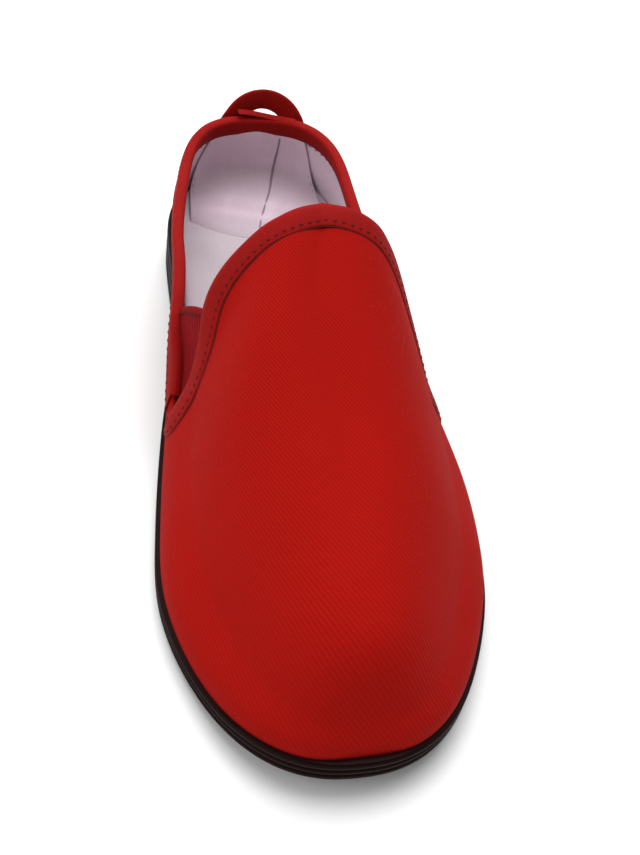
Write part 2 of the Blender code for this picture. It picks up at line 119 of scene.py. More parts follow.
# Share of length from the toe, half width and shift to the outer side as shares of the ball width
OUTLINE = [
    (0.00, 0.456, -0.023),
    (0.10, 0.471, -0.015),
    (0.25, 0.504, 0.005),
    (0.36, 0.500, 0.023),
    (0.50, 0.446, 0.016),
    (0.65, 0.362, 0.007),
    (0.85, 0.338, 0.001),
    (1.00, 0.333, 0.009),
]

# Share of length, height of the sole's top in metres, share of toe spring and share of arch rise under it
SOLE = [
    (0.00, 0.0151, 1.00, 0.0),
    (0.12, 0.0092, 0.36, 0.0),
    (0.22, 0.0081, 0.06, 0.0),
    (0.29, 0.0071, 0.00, 0.0),
    (0.43, 0.0078, 0.00, 0.0),
    (0.50, 0.0098, 0.00, 0.6),
    (0.60, 0.0141, 0.00, 1.0),
    (0.69, 0.0172, 0.00, 0.0),
    (0.90, 0.0209, 0.00, 0.0),
    (1.00, 0.0209, 0.00, 0.0),
]

# The ridge over the foot: share of length, share of instep height, shift to the outer side in metres
RIDGE = [
    (0.08, 0.487, 0.0000),
    (0.12, 0.534, 0.0000),
    (0.25, 0.629, 0.0010),
    (0.36, 0.725, 0.0015),
    (0.48, 0.867, -0.0010),
    (0.60, 1.030, 0.0042),
    (0.75, 1.232, 0.0010),
    (0.90, 1.285, 0.0003),
]

# Where a rib of the last starts at the sole and where it ends on the ridge, as shares of the length
RIB_LEAN = [(0.00, 0.100), (0.36, 0.495), (0.60, 0.693), (1.00, 0.860)]

# How full a rib is in plan at the front and at the heel, how fast it rises, its bulge, and the part of its
# height over which it goes from upright to its own lean
PLAN_POWER_FRONT, PLAN_POWER_HEEL = 2.48, 3.36
RISE_POWER = 0.80
BULGE, UPRIGHT_TOP = 0.0020, 0.36
HEEL_BLEND = (0.45, 0.70)

# How far the inner quarter stands out at its edge, where the elastic pushes it open, and over which shares
# of the length and of the rib's height it does
FLARE = 0.0085
FLARE_START, FLARE_END = (0.44, 0.54), (0.68, 0.95)
FLARE_RISE, FLARE_FALL = (0.0, 0.40), (0.55, 0.90)

# The vamp's edge round the throat: rise, and share of length of the rib that it crosses there
THROAT = [
    (0.33, 0.4635),
    (0.38, 0.4615),
    (0.45, 0.4615),
    (0.53, 0.4725),
    (0.60, 0.4905),
    (0.68, 0.5010),
    (0.78, 0.4965),
    (0.87, 0.4795),
    (0.94, 0.4675),
    (1.00, 0.4565),
]

# The edge of the quarters from the notch to the heel: share of length of the rib, height in metres
COLLAR = [
    (0.481, 0.0270),
    (0.500, 0.0345),
    (0.525, 0.0415),
    (0.555, 0.0462),
    (0.600, 0.0495),
    (0.680, 0.0504),
    (0.780, 0.0500),
    (0.900, 0.0504),
    (1.000, 0.0510),
]

# Counts of mesh stations, and the power that crowds the vamp's columns towards its edge
VAMP_COLUMNS, VAMP_ROWS = 92, 60
COLUMN_CROWDING = 0.7
QUARTER_COLUMNS, QUARTER_ROWS = 110, 22
THROAT_STATIONS, COLLAR_STATIONS = 130, 230
SOLE_STATIONS = 360
FAN = 7

# How often a tape's line is eased, and the stations on each side of the ridge that a smooth curve bridges
HEM_TURNS, HEM_BRIDGE = 8, 4

# The step of angle and rise that slopes are measured over
STEP = 1e-4

# How far the lower edge of the cloth is tucked into the sole
TUCK = 0.0012

# Round the toe's ridge, where the ribs meet, the surface is relaxed: its centre as a share of the length, the
# reach of it and the reach across the toe's front, its turns, and how strong it is at least and in all
RELAX_SHARE = 0.115
RELAX_REACH, FRONT_REACH = 0.022, 0.008
RELAX_TURNS = 90
RELAX_LEAST, RELAX_STRENGTH = 0.02, 0.6

# The shares of the length between which the sole lies flat on the floor: forefoot and heel
FLAT_FOREFOOT, FLAT_HEEL = (0.29, 0.43), 0.69



def on_curve(table, column, share):
    """The column's value at a share, on a smooth curve through the rows of the table."""
    rows = np.array(table, float)
    at, value = rows[:, 0], rows[:, column]
    slope = np.gradient(value, at)
    share = np.clip(np.asarray(share, float), at[0], at[-1])
    row = np.clip(np.searchsorted(at, share) - 1, 0, len(at) - 2)
    width = at[row + 1] - at[row]
    t = (share - at[row]) / width
    return (
        (2 * t**3 - 3 * t**2 + 1) * value[row]
        + (t**3 - 2 * t**2 + t) * width * slope[row]
        + (3 * t**2 - 2 * t**3) * value[row + 1]
        + (t**3 - t**2) * width * slope[row + 1]
    )


def ease(low, high, value):
    t = np.clip((value - low) / (high - low), 0, 1)
    return t * t * (3 - 2 * t)


def unit(vectors):
    vectors = np.asarray(vectors, float)
    return vectors / np.linalg.norm(vectors, axis=-1, keepdims=True)


def share_of(angle):
    return (1 - np.cos(angle)) / 2


def angle_of(share, side):
    return side * np.arccos(np.clip(1 - 2 * np.asarray(share, float), -1, 1))


def round_end(reach, power):
    rest = np.clip(1 - reach, 0, 1)
    return (1 - rest**power) ** (1 / power)


def run_along(points):
    return np.concatenate([[0], np.cumsum(np.linalg.norm(np.diff(points, axis=0), axis=1))])


def eased(rows, turns):
    """The rows of points evened out along the path; the first and the last ones stay."""
    rows = np.array(rows, float)
    for _ in range(turns):
        rows[1:-1] += ((rows[:-2] + rows[2:]) / 2 - rows[1:-1]) * 0.5
    return rows


def bridged(rows, reach):
    """The rows with a smooth curve in place of those this close to the middle one."""
    rows = np.array(rows, float)
    middle = len(rows) // 2
    first, final = middle - reach, middle + reach
    start, stop = rows[first], rows[final]
    leave = (rows[first] - rows[first - 4]) / 4 * (2 * reach)
    arrive = (rows[final + 4] - rows[final]) / 4 * (2 * reach)
    t = np.linspace(0, 1, 2 * reach + 1)[:, None]
    rows[first: final + 1] = (
        (2 * t**3 - 3 * t**2 + 1) * start
        + (t**3 - 2 * t**2 + t) * leave
        + (3 * t**2 - 2 * t**3) * stop
        + (t**3 - t**2) * arrive
    )
    return rows


class Last:
    """The shape that the upper is drawn over."""

    def __init__(self, sizes):
        self.length = sizes.length
        self.ball_width = sizes.ball_width
        self.instep_height = sizes.instep_height
        self.toe_spring = sizes.toe_spring
        self.arch_rise = sizes.arch_rise
        self.shift = np.zeros(2)
        rim = self.outline(np.linspace(0, 2 * math.pi, 721))
        low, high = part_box("outsole")
        middle = np.array([low.x + high.x, low.y + high.y]) / 2
        self.shift = middle - (rim.max(axis=0) + rim.min(axis=0)) / 2

    def outline(self, angle):
        share = share_of(angle)
        half = self.ball_width * on_curve(OUTLINE, 1, share)
        half = half * round_end(share / TOE_REACH, TOE_POWER)
        half = half * round_end((1 - share) / HEEL_REACH, HEEL_POWER)
        x = self.ball_width * on_curve(OUTLINE, 2, share) + np.sign(np.sin(angle)) * half
        return np.stack([x, (share - 0.5) * self.length], -1) + self.shift

    def outward(self, angle):
        along = self.outline(angle + STEP) - self.outline(angle - STEP)
        return unit(np.stack([along[..., 1], -along[..., 0]], -1))

    def sole_top(self, share):
        return on_curve(SOLE, 1, share)

    def sole_bottom(self, share):
        spring = self.toe_spring * np.clip(on_curve(SOLE, 2, share), 0, None)
        arch = self.arch_rise * np.clip(on_curve(SOLE, 3, share), 0, None)
        flat = (share > FLAT_FOREFOOT[0]) & (share < FLAT_FOREFOOT[1]) | (share > FLAT_HEEL)
        return np.where(flat, 0, spring + arch)

    def point(self, angle, rise):
        angle, rise = np.broadcast_arrays(np.asarray(angle, float), np.asarray(rise, float))
        share = share_of(angle)
        foot = self.outline(angle)
        end = on_curve(RIB_LEAN, 1, share)
        top = np.stack([on_curve(RIDGE, 2, end), (end - 0.5) * self.length], -1) + self.shift
        low, high = self.sole_top(share), self.instep_height * on_curve(RIDGE, 1, end)
        power = PLAN_POWER_FRONT + (PLAN_POWER_HEEL - PLAN_POWER_FRONT) * ease(*HEEL_BLEND, share)
        turn = np.clip(rise, 0, 1) * math.pi / 2
        across = np.abs(np.cos(turn)) ** (2 / power)
        up = np.sin(turn) ** (2 / RISE_POWER)
        inward = (1 - across) * ease(0, UPRIGHT_TOP, up)
        flare = ease(*FLARE_START, share) * (1 - ease(*FLARE_END, share)) * (np.sin(angle) < 0)
        swell = BULGE * up * (1 - up) + FLARE * flare * ease(*FLARE_RISE, up) * (1 - ease(*FLARE_FALL, up))
        plan = foot + (top - foot) * inward[..., None] + self.outward(angle) * swell[..., None]
        return np.concatenate([plan, (low + (high - low) * up)[..., None]], -1)

    def slopes(self, angle, rise):
        rise = np.clip(rise, 0.001, 0.995)
        by_angle = self.point(angle + STEP, rise) - self.point(angle - STEP, rise)
        by_rise = self.point(angle, rise + STEP) - self.point(angle, rise - STEP)
        return by_angle / (2 * STEP), by_rise / (2 * STEP)

    def normal(self, angle, rise):
        return unit(np.cross(*self.slopes(angle, rise)))

    def walk(self, angle, rise, direction, distance, steps=8):
        """The angle and rise that a walk over the surface reaches, starting in the given direction."""
        stride = np.asarray(distance, float) / steps
        for _ in range(steps):
            by_angle, by_rise = self.slopes(angle, rise)
            away = self.normal(angle, rise)
            flat = unit(direction - away * np.sum(direction * away, -1, keepdims=True)) * stride[..., None]
            aa, rr = np.sum(by_angle**2, -1), np.sum(by_rise**2, -1)
            ar = np.sum(by_angle * by_rise, -1)
            fa, fr = np.sum(flat * by_angle, -1), np.sum(flat * by_rise, -1)
            whole = aa * rr - ar * ar
            angle = angle + (fa * rr - fr * ar) / whole
            rise = np.clip(rise + (fr * aa - fa * ar) / whole, 0, 1)
        return angle, rise

    def rise_at(self, share, height):
        """The rise at which the rib that starts at this share reaches the height."""
        low = self.sole_top(share)
        high = self.instep_height * on_curve(RIDGE, 1, on_curve(RIB_LEAN, 1, share))
        return np.arcsin(np.clip((height - low) / (high - low), 0, 1) ** (RISE_POWER / 2)) * 2 / math.pi

    def evenly(self, angle, rise, count):
        """The path's angles and rises at points the same distance apart."""
        run = run_along(self.point(angle, rise))
        at = np.linspace(0, run[-1], count)
        return np.interp(at, run, angle), np.interp(at, run, rise)

    def throat_edge(self, side, count):
        rise = np.linspace(THROAT[0][0], 1, 300)
        return self.evenly(angle_of(on_curve(THROAT, 1, rise), side), rise, count)

    def collar_edge(self, side, count):
        share = share_of(np.linspace(angle_of(COLLAR[0][0], 1), math.pi, 500))
        rise = self.rise_at(share, on_curve(COLLAR, 1, share))
        return self.evenly(angle_of(share, side), rise, count)


class Hem:
    """An edge of the upper from the inner notch to the outer one, and the line where its tape ends.

    The turn is -1 for the throat and 1 for the collar. At each notch the tape turns like a fan until it
    points straight down.
    """

    def __init__(self, last, edge, stations, turn, width, mitre):
        inner, outer = edge(-1, stations // 2), edge(1, stations // 2)
        angle = np.concatenate([inner[0], outer[0][-2::-1]])
        rise = np.concatenate([inner[1], outer[1][-2::-1]])
        if turn > 0:
            angle = np.where(np.arange(len(angle)) >= stations // 2, np.abs(angle), angle)
        points = last.point(angle, rise)
        inward = unit(np.cross(last.normal(angle, rise), np.gradient(points, axis=0)) * turn)
        part = np.linspace(0, 1, FAN)[:-1, None]
        down = np.array([0.0, 0.0, -1.0])
        first = down + (inward[0] - down) * part
        final = (down + (inward[-1] - down) * part)[::-1]
        spread = mitre + (width - mitre) * part[:, 0]
        self.angle = np.concatenate([np.full(FAN - 1, angle[0]), angle, np.full(FAN - 1, angle[-1])])
        self.rise = np.concatenate([np.full(FAN - 1, rise[0]), rise, np.full(FAN - 1, rise[-1])])
        inward = unit(np.concatenate([first, inward, final]))
        width = np.concatenate([spread, np.full(len(angle), width), spread[::-1]])
        self.end_angle, self.end_rise = last.walk(self.angle, self.rise, inward, width)
        self.edge = last.point(self.angle, self.rise)
        self.end = last.point(self.end_angle, self.end_rise)
        self.edge_normal = last.normal(self.angle, self.rise)
        self.end_normal = last.normal(self.end_angle, self.end_rise)
        if turn < 0:
            self.end = bridged(self.end, HEM_BRIDGE)
            self.end_normal = unit(bridged(self.end_normal, HEM_BRIDGE))
        self.end = eased(self.end, HEM_TURNS)
        self.edge_normal = unit(eased(self.edge_normal, HEM_TURNS))
        self.end_normal = unit(eased(self.end_normal, HEM_TURNS))
        self.past = -inward
        self.run = run_along((self.edge + self.end) / 2)

    def at(self, share, reach, lift, rows=slice(None)):
        """Points at a share of the tape's width from the edge, past the edge and off the outer face."""
        edge, normal = self.edge[rows], self.edge_normal[rows]
        away = unit(normal + (self.end_normal[rows] - normal) * share)
        return edge + (self.end[rows] - edge) * share + self.past[rows] * reach + away * lift


class Cloth:
    """Collects patches of a surface with their texture coordinates and makes them one mesh."""

    def __init__(self):
        self.vertices, self.faces, self.flat = [], [], []

    def patch(self, points, flat, turned=False, ring=False):
        """A grid of points, each with its place on the flat cloth. A ring's last row joins its first."""
        columns, rows = points.shape[:2]
        first = len(self.vertices)
        self.vertices += [tuple(p) for p in points.reshape(-1, 3)]
        self.flat += [tuple(p) for p in np.asarray(flat, float).reshape(-1, 2)]
        for i in range(columns - 1):
            for j in range(rows if ring else rows - 1):
                up = (j + 1) % rows
                face = [first + i * rows + j, first + (i + 1) * rows + j,
                        first + (i + 1) * rows + up, first + i * rows + up]
                self.faces.append(face[::-1] if turned else face)
        return first

    def cap(self, corners, turned=False):
        self.faces.append(list(corners)[::-1] if turned else list(corners))

    def made(self, name, look, merge=2e-6, smooth_angle=50):
        mesh = bpy.data.meshes.new(name)
        mesh.from_pydata(self.vertices, [], self.faces)
        layer = mesh.uv_layers.new(name="flat")
        flat = np.array(self.flat, np.float32)
        order = np.empty(len(mesh.loops), np.int32)
        mesh.loops.foreach_get("vertex_index", order)
        layer.data.foreach_set("uv", flat[order].ravel())
        shape = bmesh.new()
        shape.from_mesh(mesh)
        bmesh.ops.remove_doubles(shape, verts=shape.verts, dist=merge)
        shape.to_mesh(mesh)
        shape.free()
        mesh.shade_smooth()
        mesh.set_sharp_from_angle(angle=math.radians(smooth_angle))
        mesh.materials.append(look)
        return placed(name, mesh)


def placed(name, data):
    """An object of this data in the scene."""
    obj = bpy.data.objects.new(name, data)
    bpy.context.scene.collection.objects.link(obj)
    return obj


def finish_piece(obj, slot, *nodes):
    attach(obj, BODY)
    if nodes:
        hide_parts(*nodes)
    return obj


def thicken(obj, thickness):
    wall = obj.modifiers.new("Wall", "SOLIDIFY")
    wall.thickness = thickness
    wall.offset = -1
    wall.use_rim = True
    wall.use_even_offset = False


# Shader maths


class Socket:
    """An output of a shader node, with the operators that the looks use."""

    def __init__(self, look, link):
        self.look, self.link = look, link

    def _math(self, operation, *values):
        return self.look.node("ShaderNodeMath", {"operation": operation}, dict(enumerate(values)))

    def __add__(self, other):
        return self._math("ADD", self, other)

    __radd__ = __add__

    def __sub__(self, other):
        return self._math("SUBTRACT", self, other)

    def __rsub__(self, other):
        return self._math("SUBTRACT", other, self)

    def __mul__(self, other):
        return self._math("MULTIPLY", self, other)

    def sine(self):
        return self._math("SINE", self)

    def most(self, other):
        return self._math("MAXIMUM", self, other)

    def smooth(self, low, high):
        """0 below low, 1 above high, and an eased step between."""
        limits = {"Value": self, "From Min": low, "From Max": high}
        return self.look.node("ShaderNodeMapRange", {"interpolation_type": "SMOOTHSTEP"}, limits)


class Look:
    """A material under construction."""

    def __init__(self, name):
        self.material = bpy.data.materials.new(name)
        self.material.use_nodes = True
        self.tree = self.material.node_tree
        self.shader = self.tree.nodes["Principled BSDF"]

    def node(self, kind, settings=None, inputs=None, output=0):
        """A node of this kind with its settings, and with values or links on its inputs."""
        made = self.tree.nodes.new(kind)
        for name, value in (settings or {}).items():
            setattr(made, name, value)
        for name, value in (inputs or {}).items():
            self.join(made.inputs[name], value)
        return Socket(self, made.outputs[output])

    def join(self, entry, value):
        if isinstance(value, Socket):
            self.tree.links.new(value.link, entry)
        elif entry.type == "RGBA":
            entry.default_value = (*value, 1)
        else:
            entry.default_value = value

    def parts(self, vector):
        """The x, y and z of a vector."""
        split = self.node("ShaderNodeSeparateXYZ", None, {0: vector}).link.node
        return [Socket(self, output) for output in split.outputs]

    def flat(self):
        """The piece's own place on the flat cloth, in metres: across and along."""
        return self.parts(self.node("ShaderNodeUVMap", {"uv_map": "flat"}))[:2]

    def place(self):
        return self.node("ShaderNodeTexCoord", output="Object")

    def noise(self, vector, scale, detail=2.0, roughness=0.5):
        inputs = {"Vector": vector, "Scale": scale, "Detail": detail, "Roughness": roughness}
        return self.node("ShaderNodeTexNoise", {"noise_dimensions": "3D"}, inputs)

    def vector(self, x, y, z=0.0):
        return self.node("ShaderNodeCombineXYZ", None, {0: x, 1: y, 2: z})

    def mix(self, factor, a, b, blend="MIX"):
        settings = {"data_type": "RGBA", "blend_type": blend}
        return self.node("ShaderNodeMix", settings, {0: factor, 6: a, 7: b}, 2)

    def toned(self, colour, tone):
        """The colour times a grey tone."""
        return self.mix(1.0, colour, self.vector(tone, tone, tone), "MULTIPLY")

    def bump(self, height, distance, strength=1.0, normal=None):
        inputs = {"Height": height, "Distance": distance, "Strength": strength}
        if normal is not None:
            inputs["Normal"] = normal
        return self.node("ShaderNodeBump", None, inputs)

    def done(self, **values):
        for name, value in values.items():
            self.join(self.shader.inputs[name.replace("_", " ")], value)
        return self.material


def shade(colour, factor):
    return tuple(c * factor for c in colour)


def wave(value, pitch):
    """A smooth wave from 0 to 1 with one crest each pitch."""
    return (value * (2 * math.pi / pitch)).sine() * 0.5 + 0.5


# How far the twill's lines lean, in radians
TWILL_LEAN = 0.62

# Where the counter's cloth turns to the insole's colour, in metres along the shoe, and the painted shade low
# down on it, near the insole: between which heights, and its colour
COUNTER_TURN = 0.082, 0.098
COUNTER_SHADE_HEIGHTS = 0.020, 0.032
COUNTER_SHADOW = (0.46, 0.44, 0.45)

# Dust on the rubber
DUST = (0.060, 0.045, 0.042)


def canvas_look(name, sizes, colours):
    """Cotton twill: diagonal lines, each of slanting yarns, a few slubs and a soft nap."""
    look = Look(name)
    across, along = look.flat()
    place = look.place()
    drift = look.noise(place, 55.0, 1.0) - 0.5
    line = across * math.cos(TWILL_LEAN) + along * math.sin(TWILL_LEAN) + drift * 0.0004
    down = along * math.cos(TWILL_LEAN) - across * math.sin(TWILL_LEAN)
    ridge = wave(line, sizes.twill_pitch)
    yarn = wave(down + ridge * (sizes.twill_pitch * 0.3), sizes.twill_pitch * 0.62)
    slub = look.noise(look.vector(line * 900, down * 160), 1.0, 2.0)
    fuzz = look.noise(place, 2600.0, 2.0, 0.7)
    cloud = look.noise(place, 24.0, 3.0)
    relief = ridge * 0.62 + yarn * 0.2 + slub * 0.25 + fuzz * 0.18
    colour = look.toned(colours.canvas, (relief * 0.25 + 0.83 + (cloud - 0.5) * 0.16).most(0.0))
    faded = look.mix((fuzz - 0.52).most(0.0) * 0.35, colour, shade(colours.canvas, 1.5))
    return look.done(
        Base_Color=faded, Roughness=0.86 + (fuzz - 0.5) * 0.12, Normal=look.bump(relief, 0.00016),
        Specular_IOR_Level=0.06, Sheen_Weight=0.03, Sheen_Roughness=0.45, Sheen_Tint=(1.0, 0.30, 0.28))


def tape_look(name, colours):
    """Bias tape: a fine plain weave set slantwise, puckered a little by its stitches."""
    look = Look(name)
    across, along = look.flat()
    place = look.place()
    warp = wave((across + along) * 0.7071, 0.00052)
    weft = wave((across - along) * 0.7071, 0.00052)
    fuzz = look.noise(place, 2400.0, 2.0, 0.7)
    pucker = look.noise(look.vector(along * 420, across * 90), 1.0, 2.0)
    cloud = look.noise(place, 60.0, 2.0)
    relief = warp * weft * 0.5 + fuzz * 0.25
    tone = relief * 0.40 + 0.74 + (cloud - 0.5) * 0.22 + (pucker - 0.5) * 0.20
    normal = look.bump(relief, 0.00016, 1.0, look.bump(pucker, 0.0005, 0.55))
    return look.done(
        Base_Color=look.toned(colours.binding, tone), Roughness=0.74 + (fuzz - 0.5) * 0.14, Normal=normal,
        Specular_IOR_Level=0.10, Sheen_Weight=0.04, Sheen_Roughness=0.4, Sheen_Tint=(1.0, 0.32, 0.34))


def gusset_look(name, colours):
    """Elastic webbing: upright cords with fine threads across them."""
    look = Look(name)
    across, along = look.flat()
    place = look.place()
    wander = look.noise(place, 180.0, 1.0) - 0.5
    cord = wave(across + wander * 0.0002, 0.00105)
    threads = wave(along + cord * 0.0001, 0.00048)
    fuzz = look.noise(place, 2600.0, 2.0, 0.7)
    cloud = look.noise(place, 90.0, 2.0)
    relief = cord * 0.6 + threads * 0.2 + fuzz * 0.2
    colour = look.toned(colours.gusset, relief * 0.46 + 0.68 + (cloud - 0.5) * 0.16)
    return look.done(
        Base_Color=colour, Roughness=0.72 + (fuzz - 0.5) * 0.1, Normal=look.bump(relief, 0.0003),
        Specular_IOR_Level=0.10, Sheen_Weight=0.03, Sheen_Tint=(1.0, 0.30, 0.42))


def cotton_look(name, base, wear, front=None):
    """Plain woven cotton, a little soiled in soft patches; with a front colour it is the counter's cloth."""
    look = Look(name)
    across, along = look.flat()
    place = look.place()
    warp, weft = wave(across, 0.00062), wave(along, 0.00062)
    fuzz = look.noise(place, 2200.0, 2.0, 0.7)
    cloud = look.noise(place, 34.0, 3.0)
    streak = look.noise(look.vector(across * 700, along * 60), 1.0, 2.0)
    relief = warp * weft * 0.6 + fuzz * 0.25 + streak * 0.15
    plain = look.toned(base, relief * 0.16 + 0.88 + (streak - 0.5) * 0.06)
    worn_and_shaded = look.mix(cloud.smooth(0.5, 0.8) * wear, plain, shade(base, 0.72))
    if front is not None:
        _, length, height = look.parts(place)
        # Darker low down near the insole: painted shade in the hollow of the heel
        worn_and_shaded = look.mix(height.smooth(*COUNTER_SHADE_HEIGHTS), look.mix(1.0, worn_and_shaded, COUNTER_SHADOW, "MULTIPLY"), worn_and_shaded)
        worn_and_shaded = look.mix(length.smooth(*COUNTER_TURN), front, worn_and_shaded)
    return look.done(
        Base_Color=worn_and_shaded, Roughness=0.9 + (fuzz - 0.5) * 0.08, Normal=look.bump(relief, 0.00014),
        Specular_IOR_Level=0.2, Sheen_Weight=0.12)


def thread_look(name, base):
    """Twisted sewing thread."""
    look = Look(name)
    twist = look.noise(look.place(), 3200.0, 1.0)
    return look.done(
        Base_Color=look.toned(base, twist * 0.5 + 0.75), Roughness=0.75 + (twist - 0.5) * 0.2,
        Normal=look.bump(twist, 0.0001), Specular_IOR_Level=0.2)


def rubber_look(name, colours):
    """Vulcanised rubber: dull, faintly mottled, dusted a little near the floor."""
    look = Look(name)
    place = look.place()
    grain = look.noise(place, 1500.0, 3.0, 0.6)
    cloud = look.noise(place, 45.0, 3.0)
    low = 1 - look.parts(place)[2].smooth(0.0, 0.004)
    dust = (low * cloud.smooth(0.45, 0.75)) * 0.3
    colour = look.mix(dust, look.toned(colours.rubber, cloud * 0.35 + 0.82), DUST)
    rough = 0.50 + (cloud - 0.5) * 0.16 + grain * 0.08 + dust * 0.3
    return look.done(
        Base_Color=colour, Roughness=rough, Normal=look.bump(grain, 0.00008), Specular_IOR_Level=0.08)


def look_of(name, maker, *values):
    """The material of this name, made once."""
    return bpy.data.materials.get(name) or maker(name, *values)


def red_canvas(shoe):
    return look_of("cotton_twill", canvas_look, shoe.shoe_sizes, shoe.shoe_colours)


def red_tape(shoe):
    return look_of("bias_tape", tape_look, shoe.shoe_colours)


# Dark red thread, partly painted shade of the stitch holes, and the material of the painted shadow lines
# beside the tapes
def red_thread(shoe):
    return look_of("red_thread", thread_look, shoe.shoe_colours.thread)


def lilac_thread(shoe):
    return look_of("lilac_thread", thread_look, shade(shoe.shoe_colours.lining, 0.30))


def lining_cotton(shoe):
    return look_of("lining_cotton", cotton_look, shoe.shoe_colours.lining, 0.35)


# Stitches


def laying_tree(name, shape, values, size, along_curves=False):
    """A node tree that lays one shape on every point, or at each pitch along curves.

    The values are the shape's own inputs, and size names the inputs that scale it in x, y and z.
    """
    tree = bpy.data.node_groups.get(name)
    if tree:
        return tree
    tree = bpy.data.node_groups.new(name, "GeometryNodeTree")
    sockets = [("Geometry", "INPUT", "Geometry"), ("Pitch", "INPUT", "Float")]
    sockets += [(label, "INPUT", "Float") for label in dict.fromkeys(size)]
    sockets += [("Look", "INPUT", "Material"), ("Geometry", "OUTPUT", "Geometry")]
    for label, way, kind in sockets:
        tree.interface.new_socket(label, in_out=way, socket_type="NodeSocket" + kind)
    nodes, links = tree.nodes, tree.links
    entry, leave = nodes.new("NodeGroupInput"), nodes.new("NodeGroupOutput")
    item = nodes.new(shape)
    for label, value in values.items():
        item.inputs[label].default_value = value
    scale = nodes.new("ShaderNodeCombineXYZ")
    for axis, label in enumerate(size):
        links.new(entry.outputs[label], scale.inputs[axis])
    laid = nodes.new("GeometryNodeInstanceOnPoints")
    real = nodes.new("GeometryNodeRealizeInstances")
    dyed = nodes.new("GeometryNodeSetMaterial")
    links.new(item.outputs["Mesh"], laid.inputs["Instance"])
    links.new(scale.outputs[0], laid.inputs["Scale"])
    links.new(laid.outputs[0], real.inputs[0])
    links.new(entry.outputs["Look"], dyed.inputs["Material"])
    links.new(dyed.outputs[0], leave.inputs[0])
    if not along_curves:
        links.new(entry.outputs["Geometry"], laid.inputs["Points"])
        links.new(real.outputs[0], dyed.inputs["Geometry"])
        return tree
    spaced = nodes.new("GeometryNodeResampleCurve")
    spaced.mode = "LENGTH"
    tangent = nodes.new("GeometryNodeInputTangent")
    turn = nodes.new("FunctionNodeAlignRotationToVector")
    turn.axis = "X"
    smooth = nodes.new("GeometryNodeSetShadeSmooth")
    links.new(entry.outputs["Geometry"], spaced.inputs["Curve"])
    links.new(entry.outputs["Pitch"], spaced.inputs["Length"])
    links.new(spaced.outputs[0], laid.inputs["Points"])
    links.new(tangent.outputs[0], turn.inputs["Vector"])
    links.new(turn.outputs[0], laid.inputs["Rotation"])
    links.new(real.outputs[0], smooth.inputs[0])
    links.new(smooth.outputs[0], dyed.inputs["Geometry"])
    return tree


def from_nodes(name, source, tree, values, look, slot):
    """Runs the tree on the source, keeps the result as a plain mesh and removes the source."""
    modifier = source.modifiers.new("Nodes", "NODES")
    modifier.node_group = tree
    for item in tree.interface.items_tree:
        if item.item_type == "SOCKET" and item.in_out == "INPUT" and item.name in values:
            modifier[item.identifier] = values[item.name]
    bpy.context.view_layer.update()
    graph = bpy.context.evaluated_depsgraph_get()
    mesh = bpy.data.meshes.new_from_object(source.evaluated_get(graph), depsgraph=graph)
    mesh.name = name
    mesh.materials.clear()
    mesh.materials.append(look)
    mesh.polygons.foreach_set("material_index", np.zeros(len(mesh.polygons), np.int32))
    bpy.data.objects.remove(source, do_unlink=True)
    return finish_piece(placed(name, mesh), slot)


# The bead that is drawn out to a stitch
BEAD = {"Segments": 8, "Rings": 6, "Radius": 0.5}


def sew(name, paths, pitch, length, thickness, look, slot):
    """Stitches of this pitch and length along each path."""
    curve = bpy.data.curves.new(name + "_path", "CURVE")
    curve.dimensions = "3D"
    for path in paths:
        spline = curve.splines.new("POLY")
        spline.points.add(len(path) - 1)
        places = np.column_stack([path, np.ones(len(path))]).astype(np.float32)
        spline.points.foreach_set("co", places.ravel())
    source = placed(name + "_path", curve)
    size = ("Length", "Thickness", "Thickness")
    tree = laying_tree("run_of_stitches", "GeometryNodeMeshUVSphere", BEAD, size, along_curves=True)
    values = {"Pitch": pitch, "Length": length, "Thickness": thickness, "Look": look}
    return from_nodes(name, source, tree, values, look, slot)


# The upper


def relaxed(last, obj):
    """Eases the surface round the place on the toe where the ribs meet."""
    shape = bmesh.new()
    shape.from_mesh(obj.data)
    shape.verts.ensure_lookup_table()
    points = np.array([v.co for v in shape.verts])
    ends = np.array([[e.verts[0].index, e.verts[1].index] for e in shape.edges])
    edge = np.array([v.is_boundary for v in shape.verts])
    shape.free()
    centre = last.point(angle_of(0.0, 1), 1.0)
    centre[1] = (RELAX_SHARE - 0.5) * last.length
    away = np.linalg.norm((points - centre)[:, :2], axis=1)
    front = np.exp(-(((points - centre)[:, 0] / FRONT_REACH) ** 2)) * (points[:, 1] < centre[1])
    weight = np.maximum(np.exp(-((away / RELAX_REACH) ** 2)), front).clip(RELAX_LEAST)
    weight = np.where(edge, 0, weight)[:, None] * RELAX_STRENGTH
    count = np.bincount(ends.ravel(), minlength=len(points))[:, None]
    for _ in range(RELAX_TURNS):
        total = np.zeros_like(points)
        np.add.at(total, ends[:, 0], points[ends[:, 1]])
        np.add.at(total, ends[:, 1], points[ends[:, 0]])
        points += (total / count - points) * weight
    obj.data.vertices.foreach_set("co", points.astype(np.float32).ravel())
    obj.data.update()


# The lining stops short of the edges, under the tape: by this share of the vamp's turn and this far down. The
# gap lies between canvas and lining
LINING_SHORT = 0.014
LINING_LOW = 0.0024
LINING_GAP = 0.0001


